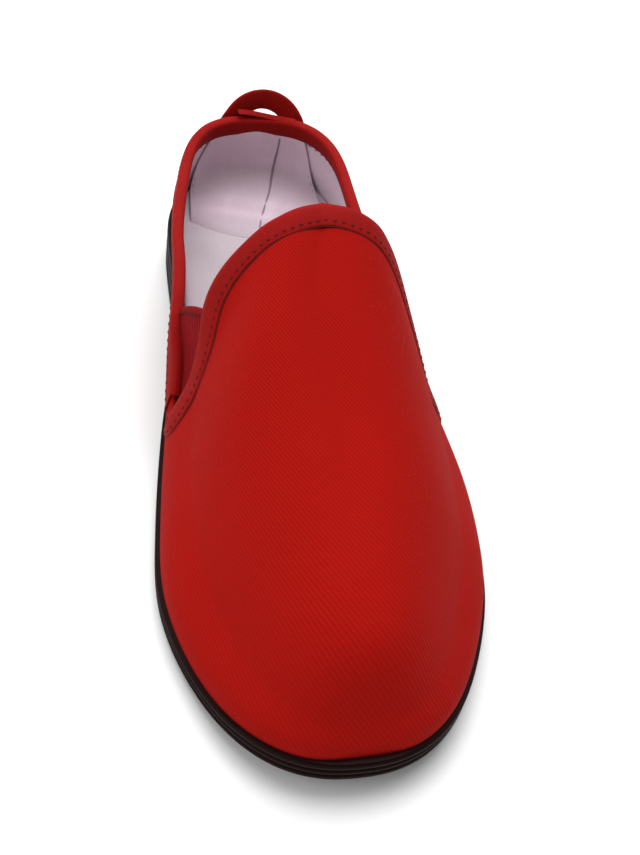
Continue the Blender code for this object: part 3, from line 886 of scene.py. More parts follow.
def vamp_grid(last, side, depth):
    """The vamp on one side, column by column from the toe to its edge, at a depth under the outer face."""
    notch_rise = THROAT[0][0]
    _, edge_rise = last.throat_edge(1, VAMP_ROWS)
    edge_angle = angle_of(on_curve(THROAT, 1, edge_rise), side)
    low_rows = VAMP_ROWS // 2
    low = np.linspace(0, notch_rise, low_rows)[:-1]
    rise = np.concatenate([low, edge_rise])[None]
    ends = np.concatenate([np.full(low_rows - 1, edge_angle[0]), edge_angle])[None]
    part = np.linspace(0, 1, VAMP_COLUMNS)[:, None] ** COLUMN_CROWDING
    if depth > 0:
        ends = ends * (1 - LINING_SHORT * ease(0.24, 0.33, rise))
    angle = ends * part
    rise = np.broadcast_to(rise, angle.shape)
    points = last.point(angle, rise) - last.normal(angle, rise) * depth
    if depth == 0:
        points[:, 0, 2] -= TUCK
    return points


def quarter_grid(last, side, depth):
    """The quarter on one side, column by column from the side seam to the heel."""
    seam = THROAT[0][1]
    share = share_of(np.linspace(angle_of(seam, 1), math.pi, QUARTER_COLUMNS))
    notch_height = last.point(angle_of(seam, 1), THROAT[0][0])[2]
    height = np.where(
        share < COLLAR[0][0],
        notch_height + (COLLAR[0][1] - notch_height) * (share - seam) / (COLLAR[0][0] - seam),
        on_curve(COLLAR, 1, share))
    if depth > 0:
        height = height - LINING_LOW
    top = last.rise_at(share, height)[:, None]
    rise = top * np.linspace(0, 1, QUARTER_ROWS)[None]
    angle = np.broadcast_to(angle_of(share, side)[:, None], rise.shape)
    points = last.point(angle, rise) - last.normal(angle, rise) * depth
    if depth == 0:
        points[:, 0, 2] -= TUCK
    return points


def arc_grid(points):
    """Place on the flat cloth of a grid: the run along its lower edge and the run up each column."""
    base = run_along(points[:, 0])
    up = np.concatenate(
        [np.zeros((len(points), 1)), np.cumsum(np.linalg.norm(np.diff(points, axis=1), axis=2), axis=1)], 1)
    return np.stack([np.broadcast_to(base[:, None], up.shape), up], -1)


def lay_flat(obj, last):
    """Unwraps the piece and gives its flat places in metres, with x and y over the toes as their axes."""
    view = bpy.context.view_layer
    view.objects.active = obj
    obj.select_set(True)
    bpy.ops.object.mode_set(mode="EDIT")
    bpy.ops.mesh.select_all(action="SELECT")
    bpy.ops.uv.unwrap(method="ANGLE_BASED", margin=0)
    bpy.ops.object.mode_set(mode="OBJECT")
    obj.select_set(False)
    mesh = obj.data
    flat = np.empty(len(mesh.loops) * 2, np.float32)
    mesh.uv_layers["flat"].data.foreach_get("uv", flat)
    flat = flat.reshape(-1, 2).astype(float)
    order = np.empty(len(mesh.loops), np.int32)
    mesh.loops.foreach_get("vertex_index", order)
    points = np.empty(len(mesh.vertices) * 3)
    mesh.vertices.foreach_get("co", points)
    place = points.reshape(-1, 3)[order]
    top = (np.abs(place[:, 0]) < 0.02) & (np.abs(place[:, 1] + 0.05) < 0.03)
    axes, *_ = np.linalg.lstsq(
        np.column_stack([place[top][:, :2], np.ones(top.sum())]), flat[top], rcond=None)
    flat = (flat - axes[2]) @ np.linalg.inv(axes[:2])
    mesh.uv_layers["flat"].data.foreach_set("uv", flat.astype(np.float32).ravel())


def sheet_pair(name, grid, last, depth, look):
    """The inner and the outer side of a part of the upper as one cloth, at a depth under the outer face."""
    cloth = Cloth()
    for side in (-1, 1):
        points = grid(last, side, depth)
        cloth.patch(points, arc_grid(points) * (side, 1), turned=(side < 0) != (depth > 0))
    return cloth.made(name, look)


def canvas_and_lining(shoe, part, grid, ridge=False):
    """Both cloths of a part of the upper; a part with the ridge is relaxed, and its canvas is laid flat."""
    sizes = shoe.shoe_sizes
    last = Last(sizes)
    canvas = sheet_pair(part + "_canvas", grid, last, 0, red_canvas(shoe))
    lining = sheet_pair(part + "_lining", grid, last, sizes.wall, lining_cotton(shoe))
    if ridge:
        relaxed(last, canvas)
        relaxed(last, lining)
        lay_flat(canvas, last)
    thicken(canvas, sizes.canvas)
    thicken(lining, sizes.wall - sizes.canvas - LINING_GAP)
    finish_piece(canvas, "upper", "upper")
    finish_piece(lining, "upper", "upper")


class SHOE_OT_vamp(bpy.types.Operator):
    """Canvas and lining over the toes and the instep"""

    bl_idname = "shoe.vamp"
    bl_label = "Vamp"

    def execute(self, context):
        canvas_and_lining(context.scene, "vamp", vamp_grid, ridge=True)
        return {"FINISHED"}


class SHOE_OT_quarters(bpy.types.Operator):
    """Canvas and lining round the heel"""

    bl_idname = "shoe.quarters"
    bl_label = "Quarters"

    def execute(self, context):
        canvas_and_lining(context.scene, "quarter", quarter_grid)
        return {"FINISHED"}


# The counter panel of the lining: how far it stands off the lining, the turns round the heel of its sides in
# radians from the middle of the back at the collar and at the insole, negative on the inner side, how far its
# top lies under the collar's edge and how far its foot under the insole's top
COUNTER_PROUD = 0.0005
COUNTER_INNER, COUNTER_OUTER = (-0.27, -0.42), (0.29, 0.38)
COUNTER_TOP, COUNTER_SUNK = 0.0030, 0.0015

# The counter's centre seam: rows from the front end to the collar, its place across the counter at each, the
# rows that it leaves free at the top, and its radius
COUNTER_MIDDLE = (0, 14, 26, 35), (0.47, 0.60, 0.65, 0.68)
COUNTER_SEAM_END = -3
COUNTER_ROD = 0.00045

# Columns of the counter, and its side stitches: their place across it and the row that they start at
COUNTER_COLUMNS = 61
COUNTER_HEM, COUNTER_FLAT = 0.03, 12

# Rows of the counter on the insole and in its bend, rows above them, and the part of the wall's height where
# the bend ends
COUNTER_STEPS, COUNTER_STEPS_UP, COUNTER_BENT = 14, 10, 0.45

# How far the counter's cloth runs forward over the insole, half its width there, where its bend ends, how far
# its front end dips and its corners are drawn back, and its soft creases: x and y of one end, x and y of the
# other, half width and depth in metres
COUNTER_REACH, COUNTER_SPREAD, COUNTER_BEND = 0.044, 0.0270, 0.34
COUNTER_DIP, COUNTER_CURVE = 0.0026, 0.010
COUNTER_CREASES = [
    (-0.022, 0.100, 0.006, 0.094, 0.0026, 0.0009),
    (-0.018, 0.108, 0.012, 0.102, 0.0030, 0.0006),
    (0.006, 0.106, 0.000, 0.090, 0.0022, 0.0006),
    (-0.010, 0.112, -0.016, 0.096, 0.0024, 0.0004),
]


def inside_heel(last, sizes, turn, part, depth):
    """Points inside the heel at a turn from the middle of its back and a part of the wall's height."""
    angle = math.pi - turn
    share = share_of(angle)
    low = last.sole_top(share) + sizes.insole - COUNTER_SUNK
    high = on_curve(COLLAR, 1, share) - COUNTER_TOP
    rise = last.rise_at(share, low + (high - low) * part)
    return last.point(angle, rise) - last.normal(angle, rise) * depth


def counter_grid(last, sizes, across):
    """The counter's columns from its end on the insole up the wall to the collar."""
    depth = sizes.wall + COUNTER_PROUD

    def wall(part):
        inner = COUNTER_INNER[1] + (COUNTER_INNER[0] - COUNTER_INNER[1]) * part
        outer = COUNTER_OUTER[1] + (COUNTER_OUTER[0] - COUNTER_OUTER[1]) * part
        turn = inner + (outer - inner) * across
        return inside_heel(last, sizes, turn, np.full(len(across), part), depth)

    foot = wall(0.0)
    foot[:, 2] = last.sole_top(1.0) + sizes.insole + COUNTER_PROUD * 2
    end = foot.copy()
    end[:, 0] = last.shift[0] + COUNTER_SPREAD * (across * 2 - 1)
    end[:, 1] = foot[:, 1].max() - COUNTER_REACH + COUNTER_CURVE * (across * 2 - 1) ** 2
    bend = foot + (end - foot) * COUNTER_BEND
    steps = np.linspace(0, 1, COUNTER_STEPS)
    column = [end + (bend - end) * t for t in steps]
    for point, t in zip(column, steps):
        point[:, 2] += crease_relief(COUNTER_CREASES, point[:, 0], point[:, 1])
        point[:, 2] -= COUNTER_DIP * (1 - t) ** 5
    start, low = column[-1].copy(), wall(COUNTER_BENT)
    column += [start * (1 - t) ** 2 + foot * (2 * t * (1 - t)) + low * t**2 for t in steps[1:]]
    column += [wall(part) for part in np.linspace(COUNTER_BENT, 1.0, COUNTER_STEPS_UP)[1:]]
    return np.swapaxes(np.array(column), 0, 1)


class SHOE_OT_counter(bpy.types.Operator):
    """Cotton panel inside the heel, with its seams"""

    bl_idname = "shoe.counter"
    bl_label = "Heel counter"

    def execute(self, context):
        sizes = context.scene.shoe_sizes
        last = Last(sizes)
        across = np.linspace(0, 1, COUNTER_COLUMNS)
        points = counter_grid(last, sizes, across)
        cloth = Cloth()
        cloth.patch(points, arc_grid(points))
        colours = context.scene.shoe_colours
        look = look_of("counter_cotton", cotton_look, colours.lining, 0.35, colours.insole)
        panel = cloth.made("counter_lining", look)
        thicken(panel, -COUNTER_PROUD * 0.8)
        finish_piece(panel, "upper")
        thread = lilac_thread(context.scene)
        hems = counter_grid(last, sizes, np.array([COUNTER_HEM, 1 - COUNTER_HEM]))
        sew("counter_stitches", list(hems[:, COUNTER_FLAT:]), sizes.stitch_pitch * 1.1,
            sizes.stitch_pitch * 0.6, sizes.thread * 0.6, thread, "upper")
        row = np.arange(points.shape[1])
        lie = np.interp(row, COUNTER_MIDDLE[0], COUNTER_MIDDLE[1]) * (COUNTER_COLUMNS - 1)
        left = np.floor(lie).astype(int)
        share = (lie - left)[:, None]
        middle = eased(points[left, row] * (1 - share) + points[left + 1, row] * share, 3)
        away = np.tile([0.0, -0.7, 0.7], (len(middle), 1))[:COUNTER_SEAM_END]
        seam = rod("counter_seam", middle[:COUNTER_SEAM_END] + away * 0.0003, COUNTER_ROD, away, thread)
        finish_piece(seam, "upper")
        return {"FINISHED"}


# The bindings: one turn round the section of the folded tape. Each row is a share of the tape's width from
# the edge, a reach past the edge and a lift off the canvas in thicknesses of the tape, and the face of the
# wall that the lift is measured from: 0 outer, 1 inner
TAPE_SECTION = [
    (1.01, 0.00, -0.60, 0),
    (0.98, 0.00, 0.55, 0),
    (0.80, 0.00, 1.05, 0),
    (0.55, 0.00, 1.30, 0),
    (0.30, 0.00, 1.55, 0),
    (0.12, 0.25, 1.55, 0),
    (0.02, 0.95, 1.05, 0),
    (0.00, 1.40, 0.10, 0),
    (0.00, 1.40, -0.10, 1),
    (0.02, 0.95, -1.05, 1),
    (0.12, 0.25, -1.50, 1),
    (0.30, 0.00, -1.45, 1),
    (0.60, 0.00, -1.20, 1),
    (0.95, 0.00, -1.00, 1),
    (1.00, 0.00, -0.60, 1),
    (0.98, 0.00, -0.20, 1),
    (0.50, 0.00, -0.10, 1),
    (0.10, 0.00, -0.10, 1),
    (0.05, 0.00, 0.00, 1),
    (0.05, 0.00, 0.00, 0),
    (0.10, 0.00, 0.10, 0),
    (0.50, 0.00, 0.10, 0),
    (0.96, 0.00, -0.50, 0),
]


def flat_grid(across, along):
    """Places on the flat cloth from those across it and those along it."""
    return np.stack(np.broadcast_arrays(across[None], along[:, None]), -1)


def bind(name, hem, sizes, look):
    """A folded tape over an edge."""
    rings = np.stack([
        hem.at(share, reach * sizes.tape, off * sizes.tape - face * sizes.wall)
        for share, reach, off, face in TAPE_SECTION], 1)
    return closed_tube(name, rings, flat_grid(run_along(rings[len(rings) // 2]), hem.run), look)


# Radius of the dark line beside each tape, which is painted shadow along the tape's edge
DARK_LINE_RADIUS = 0.0003


def rod(name, path, radius, away, look):
    """A thin round rod along a path."""
    along = unit(np.gradient(path, axis=0))
    side = unit(np.cross(along, away))
    turn = np.linspace(0, 2 * math.pi, 8, endpoint=False)
    rings = (path[:, None] + side[:, None] * (np.cos(turn) * radius)[None, :, None]
             + np.cross(side, along)[:, None] * (np.sin(turn) * radius)[None, :, None])
    return closed_tube(name, rings, flat_grid(turn * radius, run_along(path)), look)


def closed_tube(name, rings, flat, look):
    """A tube through the rings with a cap on each end."""
    cloth = Cloth()
    first = cloth.patch(rings, flat, ring=True)
    points = rings.shape[1]
    final = first + (len(rings) - 1) * points
    cloth.cap(range(first, first + points))
    cloth.cap(range(final, final + points), turned=True)
    obj = cloth.made(name, look)
    shape = bmesh.new()
    shape.from_mesh(obj.data)
    bmesh.ops.recalc_face_normals(shape, faces=shape.faces)
    shape.to_mesh(obj.data)
    shape.free()
    return obj


# The end of the collar's tape, which laps over its start at the heel: the stations that it covers, counted
# from the middle of the collar, how high its free end stands up, and half of its section
FLAP_FROM, FLAP_TO = -6, 12
FLAP_LIFT = 0.0054
FLAP_SECTION = [(0.98, 0.0, 0.9), (0.70, 0.0, 1.25), (0.35, 0.1, 1.65), (0.12, 0.5, 1.75), (0.0, 1.3, 1.3),
                (0.0, 1.9, 0.3), (0.0, 1.9, -1.2), (0.0, 1.5, -2.2)]


def tape_flap(name, hem, sizes, look):
    """The lapped end of the tape at the heel, free on one side."""
    middle = len(hem.run) // 2
    rows = slice(middle + FLAP_FROM, middle + FLAP_TO)
    count = FLAP_TO - FLAP_FROM
    loose = (1 - ease(0, 0.75, np.linspace(0, 1, count)))[:, None] * FLAP_LIFT
    outer, inner = [], []
    for share, reach, off in FLAP_SECTION:
        lift = off * sizes.tape + loose * max(share, 0.15)
        rise = reach * sizes.tape + loose * (1 - share) * 0.4
        outer.append(hem.at(share, rise, lift, rows))
        rise = rise - sizes.tape * 0.45 * (share < 0.2)
        lift = lift - sizes.tape * 0.6 * (share > 0.05)
        inner.append(hem.at(share, rise, lift, rows))
    rings = np.swapaxes(np.array(outer + inner[::-1]), 0, 1)
    return closed_tube(name, rings, flat_grid(run_along(rings[count // 2]), hem.run[rows]), look)


# How far a tape reaches straight down at a notch, and where its stitches, the dark line of painted shadow
# beside it and the stitches on the lining run, as shares of its width
HEM_MITRE = 0.0080
STITCH_ROW, LINE_ROW, LINING_ROW = 0.76, 1.03, 1.14


def throat_hem(last, sizes):
    return Hem(last, last.throat_edge, THROAT_STATIONS, -1, sizes.hem_width, HEM_MITRE)


def collar_hem(last, sizes):
    return Hem(last, last.collar_edge, COLLAR_STATIONS, 1, sizes.hem_width, HEM_MITRE)


class SHOE_OT_bindings(bpy.types.Operator):
    """Folded tapes along the throat and the collar, with their stitching"""

    bl_idname = "shoe.bindings"
    bl_label = "Bindings"

    def execute(self, context):
        sizes = context.scene.shoe_sizes
        last = Last(sizes)
        look, thread = red_tape(context.scene), red_thread(context.scene)
        collar = collar_hem(last, sizes)
        for name, hem in (("vamp_binding", throat_hem(last, sizes)), ("collar_binding", collar)):
            finish_piece(bind(name + "_tape", hem, sizes, look), "binding", name)
            sew(name + "_stitches", [hem.at(STITCH_ROW, 0, sizes.tape * 0.98)], sizes.stitch_pitch,
                sizes.stitch_pitch * 0.55, sizes.thread, thread, "binding")
            # A dark rod of thread just past the tape's end: painted shadow where the tape's edge stands off
            # the canvas
            line = rod(name + "_seam", hem.at(LINE_ROW, 0, 0.0), DARK_LINE_RADIUS, hem.end_normal, thread)
            finish_piece(line, "binding")
        under = collar.at(LINING_ROW, 0, -sizes.wall - sizes.tape * 0.4)[FAN - 1: 1 - FAN]
        sew("collar_lining_stitches", [under], sizes.stitch_pitch * 1.2, sizes.stitch_pitch * 0.45,
            sizes.thread * 0.8, lilac_thread(context.scene), "binding")
        flap = tape_flap("collar_binding_flap", collar, sizes, look)
        finish_piece(flap, "binding")
        return {"FINISHED"}


class SHOE_OT_gussets(bpy.types.Operator):
    """Elastic panels behind the two notches"""

    bl_idname = "shoe.gussets"
    bl_label = "Gussets"

    def execute(self, context):
        sizes = context.scene.shoe_sizes
        last = Last(sizes)
        look = look_of("elastic_webbing", gusset_look, context.scene.shoe_colours)
        for name, side in (("gusset_inner", -1), ("gusset_outer", 1)):
            obj = gusset(name + "_elastic", last, sizes, side, look, red_thread(context.scene))
            finish_piece(obj, "gusset", name)
        return {"FINISHED"}


# The gusset's reach along the throat's edge and along the collar's edge, in metres from the notch, how far
# it runs under the cloth on each side, how deep it lies, how much its top edge bows up, its thickness, how
# far its foot is drawn down, the row of the dark line near its top, and its mesh
GUSSET_UP_THROAT, GUSSET_ALONG_COLLAR = 0.0375, 0.0285
GUSSET_UNDER = 0.0045
GUSSET_DEEPER = 0.0003
GUSSET_BOW = 0.0028
GUSSET_THICKNESS = 0.0011
GUSSET_FOOT = 0.06
GUSSET_LINE_ROW = 45
GUSSET_COLUMNS, GUSSET_ROWS = 41, 49


def gusset(name, last, sizes, side, look, thread):
    """The elastic panel behind the notch on one side, with the dark line near its top edge."""
    edges = []
    for edge, reach, count in ((last.throat_edge, GUSSET_UP_THROAT, 200),
                               (last.collar_edge, GUSSET_ALONG_COLLAR, 400)):
        angle, rise = edge(side, count)
        run = run_along(last.point(angle, rise))
        at = np.linspace(0, reach, GUSSET_ROWS)
        edges.append((np.interp(at, run, angle), np.interp(at, run, rise)))
    (front_angle, front_rise), (back_angle, back_rise) = edges
    front, back = last.point(front_angle, front_rise), last.point(back_angle, back_rise)
    forward = unit(front - back + np.array([0, -1e-4, 0]))
    under = np.full(GUSSET_ROWS, GUSSET_UNDER)
    front_angle, front_rise = last.walk(front_angle, front_rise, forward, under)
    back_angle, back_rise = last.walk(back_angle, back_rise, -forward, under)
    up = np.linspace(0, 1, GUSSET_ROWS)
    lower = GUSSET_FOOT * (1 - up) ** 6
    front_rise, back_rise = front_rise - lower, back_rise - lower
    across = np.linspace(0, 1, GUSSET_COLUMNS)[:, None]
    angle = front_angle[None] + (back_angle - front_angle)[None] * across
    rise = front_rise[None] + (back_rise - front_rise)[None] * across
    depth = sizes.wall + GUSSET_DEEPER
    points = last.point(angle, rise) - last.normal(angle, rise) * depth
    points[..., 2] += GUSSET_BOW * np.sin(math.pi * across) * up**4
    width = np.linalg.norm(points[-1] - points[0], axis=1)
    height = run_along(points[GUSSET_COLUMNS // 2])[None]
    flat = np.stack(np.broadcast_arrays((across - 0.5) * width[-1], height), -1)
    cloth = Cloth()
    cloth.patch(points, flat, turned=side < 0)
    obj = cloth.made(name, look)
    thicken(obj, GUSSET_THICKNESS)
    away = last.normal(angle, rise)[:, GUSSET_LINE_ROW]
    line = rod(name + "_line", points[:, GUSSET_LINE_ROW] + away * DARK_LINE_RADIUS * 0.4, DARK_LINE_RADIUS, away, thread)
    finish_piece(line, "gusset")
    return obj


# The sole: height share and offset in metres of each ring of its side, three rounded ribs between grooves
RIB_EDGES = [(0.03, 0.29), (0.355, 0.615), (0.68, 0.94)]
GROOVE = 0.0011
RIB_POINTS = 9
FOOT_ROUND = 0.0012


def sole_rings():
    """Height share and offset of each ring of the sole's side."""
    rings = [(0.0, -FOOT_ROUND)]
    for low, high in RIB_EDGES:
        for part in np.linspace(0, 1, RIB_POINTS):
            swell = math.sqrt(max(1 - abs(2 * part - 1) ** 2.6, 0))
            rings.append((low + (high - low) * part, -GROOVE * (1 - swell)))
    rings.append((0.965, -GROOVE))
    rings.append((1.0, -GROOVE * 0.6))
    return rings


def slab(name, last, rings, bottom, top, look, relief=None):
    """A solid with the outline of the sole between two heights, with a fine grid on its top and bottom."""
    angle = np.linspace(0, 2 * math.pi, SOLE_STATIONS, endpoint=False)
    share = share_of(angle)
    low, high = bottom(share), top(share)
    cloth = Cloth()
    run = run_along(last.outline(angle))
    side = []
    for part, offset in rings:
        plan = last.outline(angle) + last.outward(angle) * offset
        side.append(np.column_stack([plan, low + (high - low) * part]))
    side = np.array(side)
    up = run_along(side[:, 0])
    cloth.patch(side, flat_grid(run, up), turned=True, ring=True)
    half = SOLE_STATIONS // 2
    across = np.linspace(0, 1, 41)[:, None, None]
    for edge, surface, turned in ((side[0], bottom, True), (side[-1], top, False)):
        left, right = edge[[0, *range(SOLE_STATIONS - 1, half, -1), half]], edge[: half + 1]
        grid = left[None] * (1 - across) + right[None] * across
        inner = surface((grid[..., 1] - last.shift[1]) / last.length + 0.5)
        blend = ease(0, 0.12, np.minimum(across[..., 0], 1 - across[..., 0]))
        grid[..., 2] += (inner - grid[..., 2]) * blend
        if relief is not None and not turned:
            grid[..., 2] += relief(grid[..., 0], grid[..., 1]) * blend
        cloth.patch(grid, grid[..., :2], turned=turned)
    return cloth.made(name, look, merge=1e-6)


class SHOE_OT_outsole(bpy.types.Operator):
    """Rubber sole with ribbed sides and a pad tread"""

    bl_idname = "shoe.outsole"
    bl_label = "Outsole"

    def execute(self, context):
        sizes = context.scene.shoe_sizes
        last = Last(sizes)
        look = look_of("dark_rubber", rubber_look, context.scene.shoe_colours)
        rings = [(part, offset + sizes.sole_margin) for part, offset in sole_rings()]

        def bottom(share):
            return last.sole_bottom(share) + sizes.tread_depth

        sole = slab("outsole_rubber", last, rings, bottom, last.sole_top, look)
        finish_piece(sole, "outsole", "outsole")
        tread_pads("outsole_tread", last, sizes, look)
        return {"FINISHED"}


# The tread: distance between the pads, their size and how far the field stays inside the sole's edge
PAD_PITCH = 0.0068
PAD_SIZE = 0.0050
PAD_MARGIN = 0.0060
PAD = {"Vertices": 6, "Radius Top": 0.5, "Radius Bottom": 0.42, "Depth": 1.0}


def tread_pads(name, last, sizes, look):
    """A field of low six-sided pads under the sole."""
    rows = np.arange(-last.length / 2, last.length / 2, PAD_PITCH * math.sqrt(3) / 2)
    places = []
    for k, y in enumerate(rows):
        share = y / last.length + 0.5
        if not 0.01 < share < 0.99:
            continue
        near = [np.clip(share + step, 0, 1) for step in (-0.02, 0, 0.02)]
        low = max(last.outline(angle_of(place, -1))[0] for place in near) + PAD_MARGIN
        high = min(last.outline(angle_of(place, 1))[0] for place in near) - PAD_MARGIN
        for x in np.arange(-0.06, 0.06, PAD_PITCH) + (k % 2) * PAD_PITCH / 2:
            if low < x < high:
                places.append((x, y, last.sole_bottom(share)))
    mesh = bpy.data.meshes.new(name + "_points")
    mesh.from_pydata(places, [], [])
    source = placed(name + "_points", mesh)
    tree = laying_tree("field_of_pads", "GeometryNodeMeshCone", PAD, ("Width", "Width", "Depth"))
    values = {"Width": PAD_SIZE, "Depth": sizes.tread_depth * 2, "Look": look}
    return from_nodes(name, source, tree, values, look, "outsole")


# Soft creases of the insole: x and y of one end, x and y of the other, half width and depth, all in metres
INSOLE_CREASES = [
    (-0.026, 0.052, 0.010, 0.062, 0.0040, -0.0007),
    (-0.024, 0.066, 0.020, 0.070, 0.0050, -0.0006),
    (0.004, 0.050, 0.026, 0.044, 0.0050, -0.0006),
    (-0.028, 0.030, -0.004, 0.036, 0.0060, 0.0004),
]


def crease_relief(creases, x, y):
    """Height that soft troughs and ridges add at each place."""
    total = np.zeros_like(x)
    for x0, y0, x1, y1, width, depth in creases:
        dx, dy = x1 - x0, y1 - y0
        t = np.clip(((x - x0) * dx + (y - y0) * dy) / (dx * dx + dy * dy), 0, 1)
        away = np.hypot(x - x0 - t * dx, y - y0 - t * dy)
        total += depth * np.exp(-((away / width) ** 2)) * np.sin(math.pi * (0.15 + 0.7 * t))
    return total


class SHOE_OT_insole(bpy.types.Operator):
    """Cotton-covered insole, creased a little at the heel"""

    bl_idname = "shoe.insole"
    bl_label = "Insole"

    def execute(self, context):
        sizes = context.scene.shoe_sizes
        last = Last(sizes)
        look = look_of("insole_cotton", cotton_look, context.scene.shoe_colours.insole, 0.5)
        inset = -sizes.wall - 0.0003
        rings = [(0.0, inset), (0.5, inset - 0.0003), (0.8, inset - 0.0008), (0.95, inset - 0.0016),
                 (1.0, inset - 0.0026)]

        def top(share):
            return last.sole_top(share) + sizes.insole

        def relief(x, y):
            return crease_relief(INSOLE_CREASES, x, y)

        insole = slab("insole_cover", last, rings, last.sole_top, top, look, relief)
        finish_piece(insole, "insole", "insole")
        return {"FINISHED"}


# The pull loop: its shift to the outer side, how far under the collar's edge its arch starts, how far its
# ends run down from there, how much it leans back, its thickness, its mesh and its gap to the tape
HEEL_MIDDLE = 0.0030
LOOP_SINK = 0.0079
LOOP_END = 0.0030
LOOP_LEAN = 0.25
LOOP_THICKNESS = 0.0017
LOOP_STATIONS = 64
LOOP_ROUND = 10
LOOP_CLEAR = 0.0011


def heel_spot(last, x, height):
    """The point of the heel's outside at an x and a height, and the direction out of it in plan."""
    angle = math.pi - np.linspace(-0.9, 0.9, 181)
    points = last.point(angle, last.rise_at(share_of(angle), height))
    order = np.argsort(points[:, 0])
    spot = np.interp(x, points[order, 0], angle[order])
    away = np.append(last.outward(spot), 0)
    return last.point(spot, last.rise_at(share_of(spot), height)), away


def loop_line(last, sizes):
    """The loop's centre line and the direction that its face looks in."""
    top = COLLAR[-1][1]
    turn = np.linspace(0, math.pi, LOOP_STATIONS)
    x = last.shift[0] + HEEL_MIDDLE - sizes.loop_half_width * np.cos(turn)
    low = top - LOOP_SINK
    z = low + sizes.loop_height * np.sin(turn)
    down = low - np.linspace(LOOP_END, LOOP_END / 6, 6)
    x = np.concatenate([np.full(6, x[0]), x, np.full(6, x[-1])])
    z = np.concatenate([down, z, down[::-1]])
    centre, face = [], []
    for across, height in zip(x, z):
        spot, away = heel_spot(last, across, min(height, top))
        over = max(height - top, 0)
        spot = spot + away * (LOOP_CLEAR + sizes.tape + LOOP_THICKNESS / 2 + over * LOOP_LEAN)
        centre.append((spot[0], spot[1], height))
        face.append(away)
    return np.array(centre), np.array(face)


class SHOE_OT_pull_loop(bpy.types.Operator):
    """Tape loop that stands up behind the collar"""

    bl_idname = "shoe.pull_loop"
    bl_label = "Pull loop"

    def execute(self, context):
        sizes = context.scene.shoe_sizes
        last = Last(sizes)
        centre, face = loop_line(last, sizes)
        along = unit(np.gradient(centre, axis=0))
        side = unit(np.cross(along, face))
        face = unit(np.cross(side, along))
        turn = np.linspace(0, 2 * math.pi, LOOP_ROUND * 2, endpoint=False)
        wide = np.sign(np.cos(turn)) * np.abs(np.cos(turn)) ** 0.35 * sizes.loop_width / 2
        thick = np.sign(np.sin(turn)) * np.abs(np.sin(turn)) ** 0.8 * LOOP_THICKNESS / 2
        rings = centre[:, None] + side[:, None] * wide[None, :, None] + face[:, None] * thick[None, :, None]
        flat = flat_grid(wide, run_along(centre))
        loop = closed_tube("pull_loop_tape", rings, flat, red_tape(context.scene))
        finish_piece(loop, "binding", "pull_loop")
        rows = [centre + side * (sizes.loop_width * part) + face * (LOOP_THICKNESS / 2)
                for part in (-0.36, 0.36)]
        sew("pull_loop_stitches", rows, sizes.stitch_pitch, sizes.stitch_pitch * 0.5, sizes.thread * 0.7,
            red_thread(context.scene), "binding")
        return {"FINISHED"}


# The camera of the photograph: its place, heading and dip, the point of the shoe in the middle of the frame,
# its lens and sensor in millimetres, and the reach of the floor in metres
CAMERA_PLACE = (-0.0811, -0.2715, 0.3045)
CAMERA_HEADING = 0.0447
CAMERA_DIP = math.radians(52.08)
CAMERA_TARGET = (-0.0028, -0.0346, 0.045)
CAMERA_LENS = 49.5
SENSOR = 36.0
FLOOR_REACH = 6.0


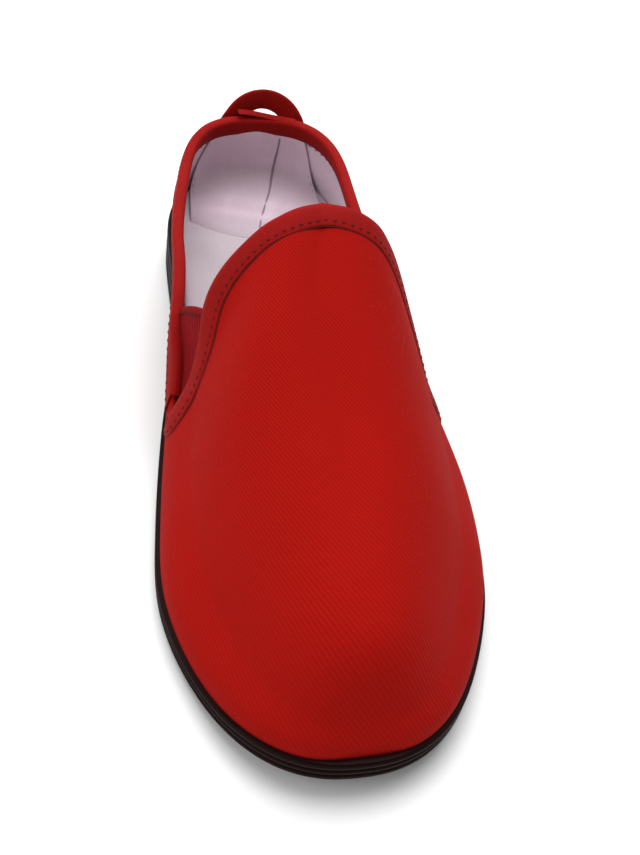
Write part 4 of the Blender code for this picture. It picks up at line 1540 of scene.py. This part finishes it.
class SHOE_OT_stage(bpy.types.Operator):
    """Floor, studio light and the photograph's camera"""

    bl_idname = "shoe.stage"
    bl_label = "Stage"

    def execute(self, context):
        scene = context.scene
        look = Look("studio_floor")
        look.done(Base_Color=scene.shoe_colours.floor, Roughness=0.9, Specular_IOR_Level=0.1)
        mesh = bpy.data.meshes.new("studio_floor")
        corners = [(x * FLOOR_REACH, y * FLOOR_REACH, 0) for x, y in ((-1, -1), (1, -1), (1, 1), (-1, 1))]
        mesh.from_pydata(corners, [], [(0, 1, 2, 3)])
        mesh.materials.append(look.material)
        placed("studio_floor", mesh)
        world = scene.world or bpy.data.worlds.new("studio")
        scene.world = world
        world.use_nodes = True
        sky = world.node_tree.nodes["Background"]
        sky.inputs["Color"].default_value = (1, 1, 1, 1)
        sky.inputs["Strength"].default_value = 0.42
        scene.view_settings.view_transform = "Standard"
        self.lamp("ceiling", (0.1, 0.62, 1.4), (0, 0, 0), 1.5, 33)
        self.lamp("left_fill", (-1.2, -0.3, 0.9), (0, 0, 0.03), 1.0, 6)
        forward = Vector((math.sin(CAMERA_HEADING) * math.cos(CAMERA_DIP),
                          math.cos(CAMERA_HEADING) * math.cos(CAMERA_DIP), -math.sin(CAMERA_DIP)))
        level = Vector((math.cos(CAMERA_HEADING), -math.sin(CAMERA_HEADING), 0))
        place = Vector(CAMERA_PLACE)
        ahead = (Vector(CAMERA_TARGET) - place).normalized()
        right = (level - ahead * level.dot(ahead)).normalized()
        above = right.cross(ahead)
        data = bpy.data.cameras.new("photo_camera")
        data.sensor_width = SENSOR
        data.lens = CAMERA_LENS
        data.clip_start, data.clip_end = 0.01, 50
        camera = placed("photo_camera", data)
        camera.matrix_world = Matrix((
            (right.x, above.x, -ahead.x, place.x),
            (right.y, above.y, -ahead.y, place.y),
            (right.z, above.z, -ahead.z, place.z),
            (0, 0, 0, 1)))
        scene.camera = camera
        return {"FINISHED"}

    def lamp(self, name, place, target, size, watts):
        data = bpy.data.lights.new(name, "AREA")
        data.size, data.energy = size, watts
        lamp = placed(name, data)
        lamp.location = place
        lamp.rotation_euler = (Vector(target) - Vector(place)).to_track_quat("-Z", "Y").to_euler()


class SHOE_PT_panel(bpy.types.Panel):
    """Lists the sizes, the colours and the pieces of the shoe"""

    bl_idname = "SHOE_PT_panel"
    bl_label = "Cloth Shoe"
    bl_space_type = "VIEW_3D"
    bl_region_type = "UI"
    bl_category = "Cloth Shoe"

    def draw(self, context):
        for group in (context.scene.shoe_sizes, context.scene.shoe_colours):
            box = self.layout.box()
            for name in group.__annotations__:
                box.prop(group, name)
        for operator in OPERATORS:
            self.layout.operator(operator.bl_idname)


OPERATORS = (
    SHOE_OT_outsole,
    SHOE_OT_insole,
    SHOE_OT_vamp,
    SHOE_OT_quarters,
    SHOE_OT_counter,
    SHOE_OT_gussets,
    SHOE_OT_bindings,
    SHOE_OT_pull_loop,
    SHOE_OT_stage,
)
CLASSES = (ShoeSizes, ShoeColours, *OPERATORS, SHOE_PT_panel)


def register():
    for item in CLASSES:
        bpy.utils.register_class(item)
    bpy.types.Scene.shoe_sizes = bpy.props.PointerProperty(type=ShoeSizes)
    bpy.types.Scene.shoe_colours = bpy.props.PointerProperty(type=ShoeColours)


def unregister():
    del bpy.types.Scene.shoe_colours
    del bpy.types.Scene.shoe_sizes
    for item in reversed(CLASSES):
        bpy.utils.unregister_class(item)


def main():
    register()
    bpy.ops.shoe.outsole()
    bpy.ops.shoe.insole()
    bpy.ops.shoe.vamp()
    bpy.ops.shoe.quarters()
    bpy.ops.shoe.counter()
    bpy.ops.shoe.gussets()
    bpy.ops.shoe.bindings()
    bpy.ops.shoe.pull_loop()
    bpy.ops.shoe.stage()


if __name__ == "__main__":
    main()
